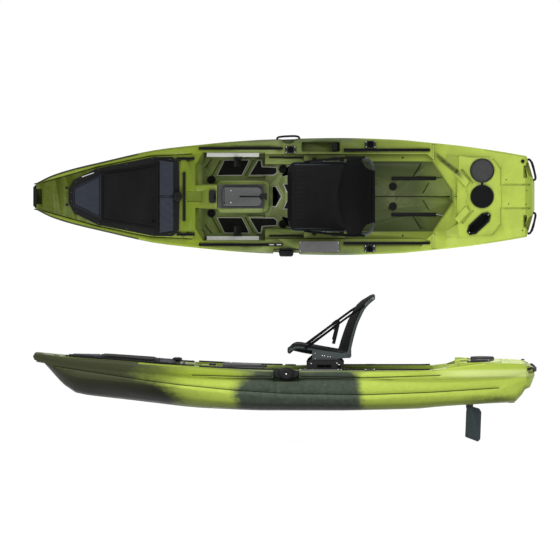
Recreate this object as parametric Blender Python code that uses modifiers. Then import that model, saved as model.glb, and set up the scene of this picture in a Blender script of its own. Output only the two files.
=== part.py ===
"""A sit-on-top pedal fishing kayak, modelled as separate fitted pieces.

Metres, +Z up. The bow points along -X and the stern along +X, port is -Y.
The origin is on the flat of the keel, amidships.
"""
import math

import bmesh
import bpy
import numpy as np
from mathutils import Matrix, Vector

# Hull, overall
HULL_LENGTH = 3.781
BOW_X = -1.879
BEAM = 0.890
HULL_WALL = 0.0055
WALL_SLOPE = 1.15
VOID_SHARES = (0.028, 0.976)
STERN_X = BOW_X + HULL_LENGTH
GUNWALE_RADIUS = 0.014
STATION_COUNT = 38

# Working clearances
SEAT_GAP = 0.0003
SLIDE_GAP = 0.0008

# Hull lines: share of the length from the bow, share of half the beam
HALF_BREADTHS = (
    (0.0, 0.235), (0.026, 0.348), (0.066, 0.461), (0.127, 0.587), (0.245, 0.804),
    (0.328, 0.885), (0.408, 0.948), (0.478, 0.978), (0.609, 1.0), (0.730, 0.969),
    (0.770, 0.938), (0.850, 0.868), (0.931, 0.770), (0.983, 0.694), (1.0, 0.670),
)
# Hull lines: share of the length from the bow, height above the keel
SHEER_HEIGHTS = (
    (0.0, 0.432), (0.066, 0.405), (0.141, 0.391), (0.247, 0.361), (0.370, 0.334),
    (0.462, 0.320), (0.529, 0.316), (0.785, 0.316), (0.826, 0.332), (0.864, 0.350),
    (0.885, 0.362), (0.900, 0.367), (0.941, 0.368), (0.971, 0.362), (0.991, 0.335), (1.0, 0.302),
)
KEEL_HEIGHTS = (
    (0.0, 0.362), (0.015, 0.352), (0.027, 0.302), (0.048, 0.213), (0.068, 0.150),
    (0.083, 0.122), (0.107, 0.108), (0.181, 0.077), (0.237, 0.053), (0.322, 0.019),
    (0.396, 0.007), (0.450, 0.0), (0.620, 0.0), (0.657, 0.003), (0.770, 0.015),
    (0.810, 0.030), (0.876, 0.046), (0.937, 0.059), (0.959, 0.062), (0.965, 0.081),
    (0.975, 0.123), (0.981, 0.160), (0.991, 0.178), (0.998, 0.239), (1.0, 0.262),
)
LOWER_STRAKE_HEIGHTS = (
    (0.0, 0.385), (0.032, 0.337), (0.143, 0.278), (0.247, 0.213), (0.324, 0.174),
    (0.408, 0.143), (0.509, 0.116), (0.655, 0.108), (0.750, 0.124), (0.892, 0.139), (1.0, 0.280),
)
UPPER_STRAKE_HEIGHTS = (
    (0.0, 0.405), (0.032, 0.372), (0.163, 0.309), (0.247, 0.287), (0.310, 0.263),
    (0.392, 0.249), (0.639, 0.248), (0.730, 0.238), (0.830, 0.234), (0.935, 0.252), (1.0, 0.290),
)
# Shares of the half breadth along the bottom, at stations along the length
KEEL_FLAT_SHARES = ((0.0, 0.30), (0.07, 0.10), (0.25, 0.22), (0.45, 0.38), (0.85, 0.42), (1.0, 0.60))
BOTTOM_SHARES = ((0.0, 0.66), (0.10, 0.40), (0.25, 0.60), (0.40, 0.76), (0.85, 0.80), (1.0, 0.85))
BILGE_SHARES = ((0.0, 0.85), (0.10, 0.70), (0.25, 0.84), (0.40, 0.92), (1.0, 0.93))

# Rounded nose before the first section: distance forward, share of its breadth, share of its height
NOSE = ((0.0235, 0.930, 0.60), (0.018, 0.965, 0.84), (0.010, 0.985, 0.95))
NOSE_CENTRE = 0.398
NOTCH_HALF = 0.058
NOTCH_BACK = 0.038
NOTCH_FLOOR = 0.3685
BOW_HANDLE_HALF = 0.080
BOW_HANDLE_HEIGHT = SHEER_HEIGHTS[0][1] - 0.030

# Bow hatch and its cover, measured from the bow
COVER_FRONT = 0.241
COVER_REAR = 1.082
FRAME_THICKNESS = 0.012
FRAME_BAR = 0.024
HATCH_CROSSBAR = 0.489
HATCH_REAR_BAR = 0.920
LID_LAP = 0.008
LID_THICKNESS = 0.012
COVER_HALF_FRONT = 0.066
COVER_HALF_CROSSBAR = 0.168
COVER_HALF_REAR = 0.270
CLOTH_THICKNESS = 0.0035
HUB_RADIUS = 0.037
HUB_PIN_RADIUS = 0.006

# Cockpit
COCKPIT_FRONT = -0.625
FOOTWELL_FLOOR = 0.115
FOOTWELL_HALF = 0.338
CONSOLE_HALF = 0.127
CONSOLE_TOP_HALF = 0.098
CONSOLE_STEP = -0.500
CONSOLE_REAR = -0.112
SEAT_BAY_FLOOR = 0.125
SEAT_BAY_FRONT = -0.165
SEAT_BAY_REAR = 0.508
SEAT_BAY_HALF = 0.246
LEDGE_HEIGHT = 0.285
LEDGE_HALF = 0.322
LEDGE_REAR = 1.085
TANKWELL_FLOOR = 0.170
TANKWELL_FRONT = 0.500
TANKWELL_REAR = 1.292
TANKWELL_SHOULDER = 1.140
TANKWELL_HALF = 0.276
TANKWELL_DRAFT = 0.015
TANKWELL_APEX_HALF = 0.045
WELL_RIM = 0.335
SCUPPER_RADIUS = 0.018
SCUPPER_HEAD_RADIUS = 0.0305
SCUPPER_HEAD_HEIGHT = 0.012
SCUPPER_STEM = 0.030
SCUPPERS = (("front", -0.553, 0.128, FOOTWELL_FLOOR), ("seat", -0.011, 0.208, SEAT_BAY_FLOOR),
            ("tankwell", 0.826, 0.075, TANKWELL_FLOOR))

# Drive well and its plug
TRUNK_FRONT = -0.470
TRUNK_REAR = -0.171
TRUNK_HALF = 0.062
PLUG_SEAT_HEIGHT = 0.3155
PLUG_FRONT = -0.503
PLUG_REAR = -0.150
PLUG_HALF = 0.092
PLUG_FLANGE = 0.011
PLUG_WALL = 0.005
PLUG_TOP_FRONT = 0.360
PLUG_TOP_REAR = 0.346
PLUG_BODY_HALF = 0.071
PLUG_BODY_EDGE = 0.008
PLUG_GAP = 0.0015
PLUG_DRAIN_RADIUS = 0.004
LATCH_HALF = 0.016

# Deck fittings
TRACK_WIDTH = 0.0215
TRACK_HEIGHT = 0.010
TRACK_SLOT = 0.008
FRONT_TRACK_X = (-0.648, -0.012)
FRONT_TRACK_Y = 0.366
REAR_TRACK_X = (0.452, 1.108)
REAR_TRACK_Y = 0.354
CROSS_TRACK_X = BOW_X + COVER_REAR + 0.037
CROSS_TRACK_HALF = 0.185
DECK_TRACK_X = (-0.817, -0.682)
DECK_TRACK_Y = 0.288
FOOT_RAIL_X = (-0.589, -0.192)
FOOT_RAIL_HEIGHT = 0.230
FOOT_RAIL_DEPTH = 0.030
FOOT_PEG_X = -0.352
PAD_THICKNESS = 0.006
BASE_LENGTH = 0.082
BASE_WIDTH = 0.056
BASE_THICKNESS = 0.008
BASE_BORE = 0.0215
BASE_CUP_RADIUS = 0.0245
BASE_CUP_DEPTH = 0.036
ACCESSORY_BASES = (("starboard_front", 0.048, 0.356), ("starboard_rear", 0.655, 0.396),
                   ("port_rear", 0.650, -0.396))

# Handles
HANDLE_RADIUS = 0.009
HANDLE_INSERT = 0.005
SIDE_HANDLE_X = 0.030
SIDE_HANDLE_HALF = 0.088
SIDE_RECESS_LENGTH = 0.058
SIDE_RECESS_DEPTH = 0.055
STERN_CHAMFER_INNER = 0.096
STERN_CHAMFER_OUTER = 0.315
STERN_CHAMFER_BACK = 0.062

# Side tray and plate
TRAY_X = (0.130, 0.424)
TRAY_Y = (0.338, 0.414)
TRAY_DEPTH = 0.045
SIDE_PLATE_X = (0.112, 0.420)
SIDE_PLATE_Y = (0.340, 0.424)
SIDE_PLATE_THICKNESS = 0.006

# Stern hatches, measured forward from the stern
HATCH_BACK = 0.398
ROUND_HATCH_Y = 0.198
ROUND_HATCH_RADIUS = 0.093
CENTRE_LID_RADIUS = 0.0890
HATCH_BORE = 0.076
HATCH_RING_HEIGHT = 0.008
HATCH_RING_WALL = 0.005
HATCH_STEPS = 28
LID_RIM_HEIGHT = 0.010
POCKET_BACK = 0.423
POCKET_Y = -0.206
POCKET_LENGTH = 0.220
POCKET_WIDTH = 0.086
POCKET_DEPTH = 0.055
POCKET_ANGLE = 43.0
STRIP_X = (0.815, 1.153)
STRIP_Y = 0.136
STRIP_WIDTH = 0.026
STRIP_THICKNESS = 0.005
DRAIN_BACK = 0.089
DRAIN_Y = 0.268
DRAIN_RADIUS = 0.014
PLATFORM_HEIGHT = 0.3725

# Rudder and its steering
RUDDER_BACK = 0.498
RUDDER_STOCK_RADIUS = 0.011
RUDDER_PIVOT_HEIGHT = 0.030
RUDDER_PIVOT_AFT = 0.005
RUDDER_THICKNESS = 0.012
RUDDER_CHEEK = 0.009
RUDDER_PIN_RADIUS = 0.006
TUNNEL_FORE = 0.060
TUNNEL_AFT = 0.296
TUNNEL_HALF_FORE = 0.045
TUNNEL_HALF_AFT = 0.148
TUNNEL_CEILING = 0.134
BEARING_RADIUS = 0.021
BEARING_HEIGHT = 0.075
TILLER_ARM = 0.075
TILLER_ARM_WIDTH = 0.018
STEERING_X = 0.0148
STEERING_HEIGHT = 0.2926
STEERING_BACK_Y = -0.396
STEERING_KNOB_HALF = (0.057, 0.040)
STEERING_KNOB_DEPTH = 0.052
STEERING_PLATE_HALF = 0.047
STEERING_PLATE = 0.008
STEERING_POCKET_HALF = 0.098
STEERING_POCKET_FLOOR = 0.232
CABLE_RADIUS = 0.004

# Skid pad under the stern
SKID_LENGTH = 0.046
SKID_HALF = 0.120
SKID_THICKNESS = 0.006

# Seat
SEAT_TUBE_RADIUS = 0.0125
SEAT_HALF = 0.250
SEAT_PLATE_Y = SEAT_HALF + SEAT_TUBE_RADIUS - 0.0015
SEAT_PLATE_STOCK = 0.0064
SEAT_BASE_X = (0.169, 0.454)
SEAT_BASE_TOP = 0.404
SEAT_BASE_Y = (SEAT_PLATE_Y - 0.0135, SEAT_PLATE_Y - 2 * SEAT_GAP)
SEAT_TUBE_LINE = ((0.040, 0.447), (0.075, 0.476), (0.120, 0.484), (0.300, 0.452), (0.440, 0.428), (0.500, 0.418))
SEAT_BASE_WINDOW = (0.330, 0.352)
BACK_PIVOT = (0.488, 0.430)
BACK_HALF = SEAT_HALF + 0.0275
BACK_POSTS = ((0.430, 0.488), (0.514, 0.505), (0.601, 0.527), (0.671, 0.549), (0.719, 0.570), (0.781, 0.601),
              (0.820, 0.634))
MESH_THICKNESS = 0.004
BACK_MESH_FOOT = 0.450
BACK_MESH_TOP_HALF = SEAT_HALF + 0.005
BACK_MESH_THICKNESS = 0.008
BACK_BULGE_LOW = 0.072
BACK_BULGE_HIGH = 0.040
BACK_LAP = 0.003
STRAP_WIDTH = 0.025
STRAP_THICKNESS = 0.0025
STRAP_Y = BACK_HALF + 0.0169

GREEN = (0.42, 0.60, 0.08)
BLACK = (0.012, 0.012, 0.013)
GREY = (0.09, 0.095, 0.10)
SLATE = (0.06, 0.07, 0.09)
WHITE = (0.86, 0.86, 0.84)
CLOTH = (0.07, 0.075, 0.09)
METAL = (0.12, 0.13, 0.15)


def clear_scene():
    for item in list(bpy.data.objects):
        bpy.data.objects.remove(item, do_unlink=True)


def make_group(name):
    bpy.context.scene.collection.children.link(bpy.data.collections.new(name))


def make_material(name, colour, roughness=0.5, metallic=0.0):
    material = bpy.data.materials.new(name)
    material.use_nodes = True
    shader = material.node_tree.nodes["Principled BSDF"]
    shader.inputs["Base Color"].default_value = (*colour, 1.0)
    shader.inputs["Roughness"].default_value = roughness
    shader.inputs["Metallic"].default_value = metallic
    return material


def put(mesh, name, group, origin=(0.0, 0.0, 0.0)):
    """Object from a mesh in world coordinates, with its own origin."""
    mesh.transform(Matrix.Translation(-Vector(origin)))
    item = bpy.data.objects.new(name, mesh)
    item.location = origin
    bpy.data.collections[group].objects.link(item)
    return item


def finish_part(item, colour, roughness=0.5, metallic=0.0, smooth=True):
    item.data.materials.append(make_material(item.name + "_finish", colour, roughness, metallic))
    if smooth:
        item.data.shade_smooth()
        item.data.set_sharp_from_angle(angle=math.radians(35))
    return item


def make_cutter(item):
    item.hide_render = True
    item.display_type = "WIRE"
    return item


def mesh_from_bmesh(name, form):
    bmesh.ops.recalc_face_normals(form, faces=form.faces)
    if form.calc_volume(signed=True) < 0:
        bmesh.ops.reverse_faces(form, faces=form.faces)
    mesh = bpy.data.meshes.new(name)
    form.to_mesh(mesh)
    form.free()
    return mesh


def apply_modifiers(item):
    """Bake the modifiers of an object into its mesh."""
    bpy.context.view_layer.update()
    evaluated = item.evaluated_get(bpy.context.evaluated_depsgraph_get())
    mesh = bpy.data.meshes.new_from_object(evaluated)
    item.modifiers.clear()
    item.data = mesh
    return item


def combine(item, other, operation, solver="EXACT"):
    modifier = item.modifiers.new(other.name, "BOOLEAN")
    modifier.operation = operation
    modifier.object = other
    modifier.solver = solver
    return modifier


def join_and_cut(item, joined=(), removed=()):
    """Union and subtract other objects, then delete them."""
    for other in joined:
        combine(item, other, "UNION")
    for other in removed:
        combine(item, other, "DIFFERENCE")
    apply_modifiers(item)
    for other in (*joined, *removed):
        bpy.data.objects.remove(other, do_unlink=True)
    return item


def take_mesh(item):
    """The mesh of an object in world coordinates, without the object."""
    mesh = item.data
    mesh.transform(item.matrix_world)
    bpy.data.objects.remove(item, do_unlink=True)
    return mesh


def split_bent_faces(form):
    """Triangles in place of the faces that are not flat, so that cuts come out exact."""
    bent = []
    for face in form.faces:
        face.normal_update()
        centre = face.calc_center_median()
        if max(abs((vert.co - centre).dot(face.normal)) for vert in face.verts) > 0.0000005:
            bent.append(face)
    bmesh.ops.triangulate(form, faces=bent)


def loft_mesh(name, rings):
    """Closed body through rings of equally many points, with flat ends."""
    form = bmesh.new()
    rows = [[form.verts.new(point) for point in ring] for ring in rings]
    count = len(rows[0])
    for low, high in zip(rows, rows[1:]):
        for i in range(count):
            j = (i + 1) % count
            form.faces.new((low[i], low[j], high[j], high[i]))
    form.faces.new(list(reversed(rows[0])))
    form.faces.new(rows[-1])
    split_bent_faces(form)
    return mesh_from_bmesh(name, form)


def box_mesh(name, low, high):
    form = bmesh.new()
    bmesh.ops.create_cube(form, size=1.0)
    low = Vector(low)
    high = Vector(high)
    for vert in form.verts:
        vert.co = Vector(low[i] + (vert.co[i] + 0.5) * (high[i] - low[i]) for i in range(3))
    return mesh_from_bmesh(name, form)


def rod_mesh(name, start, end, radius, sides=24, end_radius=None):
    """Cylinder or cone between two points."""
    start = Vector(start)
    end = Vector(end)
    form = bmesh.new()
    tip = radius if end_radius is None else end_radius
    bmesh.ops.create_cone(form, cap_ends=True, segments=sides, radius1=radius, radius2=tip,
                          depth=(end - start).length)
    turn = Vector((0, 0, 1)).rotation_difference(end - start).to_matrix().to_4x4()
    form.transform(Matrix.Translation((start + end) / 2) @ turn)
    return mesh_from_bmesh(name, form)


def rounded(points, radius, steps=4):
    """Outline with each corner turned into an arc."""
    result = []
    count = len(points)
    for i, corner in enumerate(points):
        here = Vector(corner)
        before = Vector(points[i - 1]) - here
        after = Vector(points[(i + 1) % count]) - here
        angle = before.angle(after)
        reach = min(radius / math.tan(angle / 2), before.length * 0.45, after.length * 0.45)
        first = here + before.normalized() * reach
        last = here + after.normalized() * reach
        for k in range(steps + 1):
            t = k / steps
            point = first * (1 - t) ** 2 + here * 2 * t * (1 - t) + last * t ** 2
            result.append((point.x, point.y))
    return result


def grown(points, distance):
    """Outline of a counter-clockwise polygon moved out by a distance."""
    count = len(points)
    result = []
    for i in range(count):
        here = Vector(points[i])
        before = (here - Vector(points[i - 1])).normalized()
        after = (Vector(points[(i + 1) % count]) - here).normalized()
        out_before = Vector((before.y, -before.x))
        out_after = Vector((after.y, -after.x))
        middle = (out_before + out_after).normalized()
        share = max(middle.dot(out_after), 0.5)
        point = here + middle * (distance / share)
        result.append((point.x, point.y))
    return result


def mirrored(points):
    """Counter-clockwise outline from its half on the port side, bow end first."""
    other = [(x, -y) for x, y in reversed(points)]
    return list(points) + other


def prism_mesh(name, outline, low, high, draft=0.0):
    """Upright body on an outline, whose foot is drawn in by the draft."""
    foot = grown(outline, -draft) if draft else outline
    rings = [[(x, y, low) for x, y in foot], [(x, y, high) for x, y in outline]]
    return loft_mesh(name, rings)


def flat_mesh(name, outlines, thickness):
    """Flat plate at z from 0 to the thickness, the first outline less the others."""
    curve = bpy.data.curves.new(name, "CURVE")
    curve.dimensions = "2D"
    curve.fill_mode = "BOTH"
    curve.extrude = thickness / 2
    for outline in outlines:
        spline = curve.splines.new("POLY")
        spline.points.add(len(outline) - 1)
        for point, (x, y) in zip(spline.points, outline):
            point.co = (x, y, 0.0, 1.0)
        spline.use_cyclic_u = True
    holder = bpy.data.objects.new(name + "_curve", curve)
    bpy.context.scene.collection.objects.link(holder)
    bpy.context.view_layer.update()
    mesh = bpy.data.meshes.new_from_object(holder.evaluated_get(bpy.context.evaluated_depsgraph_get()))
    bpy.data.objects.remove(holder, do_unlink=True)
    form = bmesh.new()
    form.from_mesh(mesh)
    bmesh.ops.remove_doubles(form, verts=form.verts, dist=0.00001)
    bmesh.ops.translate(form, verts=form.verts, vec=(0, 0, thickness / 2))
    return mesh_from_bmesh(name, form)


def tube_mesh(name, points, radius, closed=False, resolution=2):
    """Round tube along points, with filled ends."""
    curve = bpy.data.curves.new(name, "CURVE")
    curve.dimensions = "3D"
    curve.bevel_depth = radius
    curve.bevel_resolution = resolution
    curve.use_fill_caps = True
    spline = curve.splines.new("POLY")
    spline.points.add(len(points) - 1)
    for point, place in zip(spline.points, points):
        point.co = (*place, 1.0)
    spline.use_cyclic_u = closed
    holder = bpy.data.objects.new(name + "_curve", curve)
    bpy.context.scene.collection.objects.link(holder)
    bpy.context.view_layer.update()
    mesh = bpy.data.meshes.new_from_object(holder.evaluated_get(bpy.context.evaluated_depsgraph_get()))
    bpy.data.objects.remove(holder, do_unlink=True)
    form = bmesh.new()
    form.from_mesh(mesh)
    bmesh.ops.remove_doubles(form, verts=form.verts, dist=0.00001)
    return mesh_from_bmesh(name, form)


def smooth_path(points, steps=4, closed=False):
    """Catmull-Rom curve through the points."""
    ends = [points[-1], *points, points[0], points[1]] if closed else [points[0], *points, points[-1]]
    result = []
    for i in range(len(ends) - 3):
        a, b, c, d = (np.array(ends[i + k], dtype=float) for k in range(4))
        for k in range(steps):
            t = k / steps
            result.append(tuple(0.5 * (2 * b + (c - a) * t + (2 * a - 5 * b + 4 * c - d) * t ** 2
                                       + (3 * b - a - 3 * c + d) * t ** 3)))
    if not closed:
        result.append(tuple(points[-1]))
    return result


def turned_mesh(name, profile, steps=24):
    """Body of revolution about Z from (radius, height) points, listed top to bottom."""
    mesh = bpy.data.meshes.new(name + "_profile")
    verts = [(radius, 0.0, height) for radius, height in profile]
    mesh.from_pydata(verts, [(i, i + 1) for i in range(len(verts) - 1)], [])
    holder = bpy.data.objects.new(name + "_holder", mesh)
    bpy.context.scene.collection.objects.link(holder)
    screw = holder.modifiers.new("turn", "SCREW")
    screw.steps = steps
    screw.render_steps = steps
    screw.use_merge_vertices = True
    screw.merge_threshold = 0.00001
    bpy.context.view_layer.update()
    result = bpy.data.meshes.new_from_object(holder.evaluated_get(bpy.context.evaluated_depsgraph_get()))
    bpy.data.objects.remove(holder, do_unlink=True)
    form = bmesh.new()
    form.from_mesh(result)
    bmesh.ops.remove_doubles(form, verts=form.verts, dist=0.00001)
    return mesh_from_bmesh(name, form)


def moved(mesh, offset=(0.0, 0.0, 0.0), axis=None, degrees=0.0):
    """Mesh turned about an axis through the origin, then moved."""
    if axis:
        mesh.transform(Matrix.Rotation(math.radians(degrees), 4, axis))
    mesh.transform(Matrix.Translation(offset))
    return mesh


def bevel(item, width, segments=1, angle=40.0):
    modifier = item.modifiers.new("edge", "BEVEL")
    modifier.width = width
    modifier.segments = segments
    modifier.limit_method = "ANGLE"
    modifier.angle_limit = math.radians(angle)
    return item


def smooth_value(table, t):
    """Monotone cubic through a table of (share, value), level where the table is level."""
    shares = [row[0] for row in table]
    values = [row[1] for row in table]
    gaps = [b - a for a, b in zip(shares, shares[1:])]
    rises = [(b - a) / gap for a, b, gap in zip(values, values[1:], gaps)]
    slopes = [rises[0]]
    for left, right in zip(rises, rises[1:]):
        slopes.append(0.0 if left * right <= 0 else 2 * left * right / (left + right))
    slopes.append(rises[-1])
    t = min(max(t, shares[0]), shares[-1])
    i = max(k for k in range(len(gaps)) if shares[k] <= t)
    u = (t - shares[i]) / gaps[i]
    return (values[i] * (1 + 2 * u) * (1 - u) ** 2 + gaps[i] * slopes[i] * u * (1 - u) ** 2
            + values[i + 1] * u * u * (3 - 2 * u) + gaps[i] * slopes[i + 1] * u * u * (u - 1))


def station_shares():
    """Shares of the length at which the hull has a section, closer near the ends."""
    shares = []
    for k in range(STATION_COUNT):
        u = k / (STATION_COUNT - 1)
        shares.append(0.62 * u + 0.38 * (1 - math.cos(math.pi * u)) / 2)
    extra = [row[0] for row in KEEL_HEIGHTS if row[0] > 0.95 or row[0] < 0.05]
    merged = sorted(shares + extra)
    kept = [merged[0]]
    for share in merged[1:]:
        if share - kept[-1] > 0.0035:
            kept.append(share)
    kept[-1] = 1.0
    return kept


STATIONS = station_shares()
STATION_X = [BOW_X + share * HULL_LENGTH for share in STATIONS]
STATION_SHEER = [smooth_value(SHEER_HEIGHTS, share) for share in STATIONS]
STATION_BEAM = [smooth_value(HALF_BREADTHS, share) * BEAM / 2 for share in STATIONS]
STATION_KEEL = [smooth_value(KEEL_HEIGHTS, share) for share in STATIONS]


def deck_height(x):
    """Height of the faceted deck at x."""
    return float(np.interp(x, STATION_X, STATION_SHEER))


def half_beam(x):
    return float(np.interp(x, STATION_X, STATION_BEAM))


def keel_height(x):
    return float(np.interp(x, STATION_X, STATION_KEEL))


def hull_half_section(share):
    """Starboard half of the hull section from the keel to the deck, as (y, z)."""
    beam = smooth_value(HALF_BREADTHS, share) * BEAM / 2
    sheer = smooth_value(SHEER_HEIGHTS, share)
    keel = smooth_value(KEEL_HEIGHTS, share)
    height = sheer - keel
    lower = min(max(smooth_value(LOWER_STRAKE_HEIGHTS, share), keel + 0.22 * height), keel + 0.50 * height)
    upper = min(max(smooth_value(UPPER_STRAKE_HEIGHTS, share), lower + 0.18 * height), keel + 0.80 * height)
    step = min(0.012, 0.06 * height)
    edge = min(GUNWALE_RADIUS, 0.2 * height)
    flat = smooth_value(KEEL_FLAT_SHARES, share)
    bottom = smooth_value(BOTTOM_SHARES, share)
    bilge = smooth_value(BILGE_SHARES, share)
    rise = lower - keel
    return [
        (0.0, keel),
        (flat * beam, keel),
        (bottom * beam, keel + 0.16 * rise),
        (bilge * beam, keel + 0.55 * rise),
        (0.955 * beam, lower - step),
        (0.975 * beam, lower),
        (0.960 * beam, lower + step),
        (0.968 * beam, upper - step),
        (0.950 * beam, upper),
        (0.992 * beam, upper + step),
        (beam, upper + 0.5 * (sheer - upper)),
        (beam - 0.2 * edge, sheer - 0.7 * edge),
        (beam - edge, sheer),
        (0.5 * beam, sheer),
        (0.0, sheer),
    ]


def ring_from_half(x, half):
    other = [(-y, z) for y, z in reversed(half[1:-1])]
    return [(x, y, z) for y, z in half + other]


def nose_rings():
    """Sections before the first station, drawn in toward the tip."""
    first = hull_half_section(0.0)
    rings = []
    for ahead, breadth, height in NOSE:
        half = [(y * breadth, NOSE_CENTRE + (z - NOSE_CENTRE) * height) for y, z in first]
        rings.append(ring_from_half(BOW_X - ahead, half))
    return rings


def hull_outside():
    rings = [ring_from_half(x, hull_half_section(share)) for x, share in zip(STATION_X, STATIONS)]
    return loft_mesh("hull", nose_rings() + rings)


def inside_half_section(share):
    """Half of the inner face of the hull wall, a wall thickness inside the section."""
    reach = 0.002
    slope = smooth_value(KEEL_HEIGHTS, share + reach) - smooth_value(KEEL_HEIGHTS, share - reach)
    lift = HULL_WALL * math.hypot(1.0, slope / (2 * reach * HULL_LENGTH))
    outer = hull_half_section(share)
    beam = outer[10][0]
    sheer = outer[14][1] - HULL_WALL
    floor = outer[0][1] + lift
    wall = HULL_WALL * WALL_SLOPE
    return [
        (0.0, floor),
        (outer[1][0] * 0.96, floor),
        (outer[2][0] - 0.5 * wall, max(outer[2][1] + lift, floor + 0.0005)),
        (outer[3][0] - wall, outer[3][1] + 0.8 * lift),
        (outer[4][0] - 1.2 * wall, outer[4][1] + 0.2 * lift),
        (outer[6][0] - wall, outer[6][1]),
        (outer[8][0] - wall, outer[8][1]),
        (outer[9][0] - 1.3 * wall, outer[9][1] + wall),
        (beam - 1.2 * wall, outer[10][1]),
        (beam - 1.6 * wall, sheer - 0.5 * wall),
        (beam - 2.2 * wall, sheer),
        (0.0, sheer),
    ]


def hull_inside():
    low, high = VOID_SHARES
    shares = [share for share in STATIONS if low < share < high]
    ends = [share for share in shares if share < 0.10 or share > 0.90]
    middle = [share for share in shares if 0.10 <= share <= 0.90]
    shares = sorted(ends + middle[::2] + [high])
    rings = [ring_from_half(BOW_X + share * HULL_LENGTH, inside_half_section(share)) for share in shares]
    return loft_mesh("hull_inside", rings)


PARTS = "fishing_kayak"
CUTTERS = "cutters"
TOP = 2 * SHEER_HEIGHTS[0][1]
RUDDER_X = STERN_X - RUDDER_BACK
HATCH_X = STERN_X - HATCH_BACK
DRAIN_X = STERN_X - DRAIN_BACK
SIDES = (("port", -1), ("starboard", 1))


def stretch_stations(low, high):
    """Both ends and the hull stations between them."""
    return [low] + [x for x in STATION_X if low + 0.002 < x < high - 0.002] + [high]


def drape(mesh, lift=0.0):
    """Cut a flat mesh at the hull stations and lay it on the deck."""
    form = bmesh.new()
    form.from_mesh(mesh)
    low = min(vert.co.x for vert in form.verts)
    high = max(vert.co.x for vert in form.verts)
    for x in stretch_stations(low, high)[1:-1]:
        geometry = form.verts[:] + form.edges[:] + form.faces[:]
        bmesh.ops.bisect_plane(form, geom=geometry, dist=0.00001, plane_co=(x, 0, 0), plane_no=(1, 0, 0))
    for vert in form.verts:
        vert.co.z += deck_height(vert.co.x) + lift
    return mesh_from_bmesh(mesh.name, form)


def well_rings(foot, mouth, floor, rim):
    return [[(x, y, floor) for x, y in foot], [(x, y, rim) for x, y in mouth], [(x, y, TOP) for x, y in mouth]]


def add_well(name, foot, mouth, floor, rim=WELL_RIM):
    """Cutter for a recess open at the top, and the same grown by the hull wall for the inside."""
    cut = make_cutter(put(loft_mesh(name, well_rings(foot, mouth, floor, rim)), name, CUTTERS))
    rings = well_rings(grown(foot, HULL_WALL), grown(mouth, HULL_WALL), floor - HULL_WALL, rim)
    thick = make_cutter(put(loft_mesh(name + "_wall", rings), name + "_wall", CUTTERS))
    return cut, thick


def add_bore(name, x, y, low, high, radius, wall=True, sides=24):
    cut = make_cutter(put(rod_mesh(name, (x, y, low), (x, y, high), radius, sides), name, CUTTERS))
    if not wall:
        return cut, None
    mesh = rod_mesh(name + "_wall", (x, y, low), (x, y, high), radius + HULL_WALL, sides)
    return cut, make_cutter(put(mesh, name + "_wall", CUTTERS))


def cutter_box(name, low, high):
    return put(box_mesh(name, low, high), name, CUTTERS)


def cutter_rod(name, start, end, radius, sides=20):
    return put(rod_mesh(name, start, end, radius, sides), name, CUTTERS)


def add_block(name, low, high, wall=True):
    cut = make_cutter(put(box_mesh(name, low, high), name, CUTTERS))
    if not wall:
        return cut, None
    low = [value - HULL_WALL for value in low]
    high = [value + HULL_WALL for value in high]
    return cut, make_cutter(put(box_mesh(name + "_wall", low, high), name + "_wall", CUTTERS))


def flipped(points, side):
    """Outline mirrored to a side, kept counter-clockwise."""
    if side > 0:
        return list(points)
    return [(x, -y) for x, y in reversed(points)]


def oblong(along, across):
    """Counter-clockwise corners of an oblong from its spans in x and y."""
    return [(along[0], across[0]), (along[1], across[0]), (along[1], across[1]), (along[0], across[1])]


def ring_points(centre, radius, count=16):
    turns = [2 * math.pi * k / count for k in range(count)]
    return [(centre[0] + radius * math.cos(turn), centre[1] + radius * math.sin(turn)) for turn in turns]


def scupper_places():
    """Each pair's label, place forward, distance from the middle and floor."""
    places = []
    for label, x, y, floor in SCUPPERS:
        places += [(label + "_" + name, x, side * y, floor) for name, side in SIDES]
    return places


def footwell_outlines():
    front = COCKPIT_FRONT
    step = CONSOLE_STEP
    narrow = SCUPPER_HEAD_RADIUS + 0.002
    inner = SCUPPERS[0][2] - narrow
    foot = [(front + 0.010, inner), (step - 0.012, inner), (step + 0.010, CONSOLE_HALF),
            (SEAT_BAY_FRONT + 0.02, CONSOLE_HALF), (SEAT_BAY_FRONT + 0.02, FOOTWELL_HALF - 0.016),
            (front + 0.024, FOOTWELL_HALF - 0.016), (front + 0.010, 0.250)]
    mouth = [(front - 0.051, inner - 0.010), (step - 0.012, inner - 0.010), (step + 0.010, CONSOLE_TOP_HALF),
             (SEAT_BAY_FRONT + 0.02, CONSOLE_TOP_HALF), (SEAT_BAY_FRONT + 0.02, FOOTWELL_HALF),
             (front + 0.008, FOOTWELL_HALF), (front - 0.051, 0.240)]
    return foot, mouth


def footwell_wall_y(z):
    """Breadth of the outer footwell wall at a height."""
    share = (z - FOOTWELL_FLOOR) / (WELL_RIM - FOOTWELL_FLOOR)
    return FOOTWELL_HALF - 0.016 * (1 - share)


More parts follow.
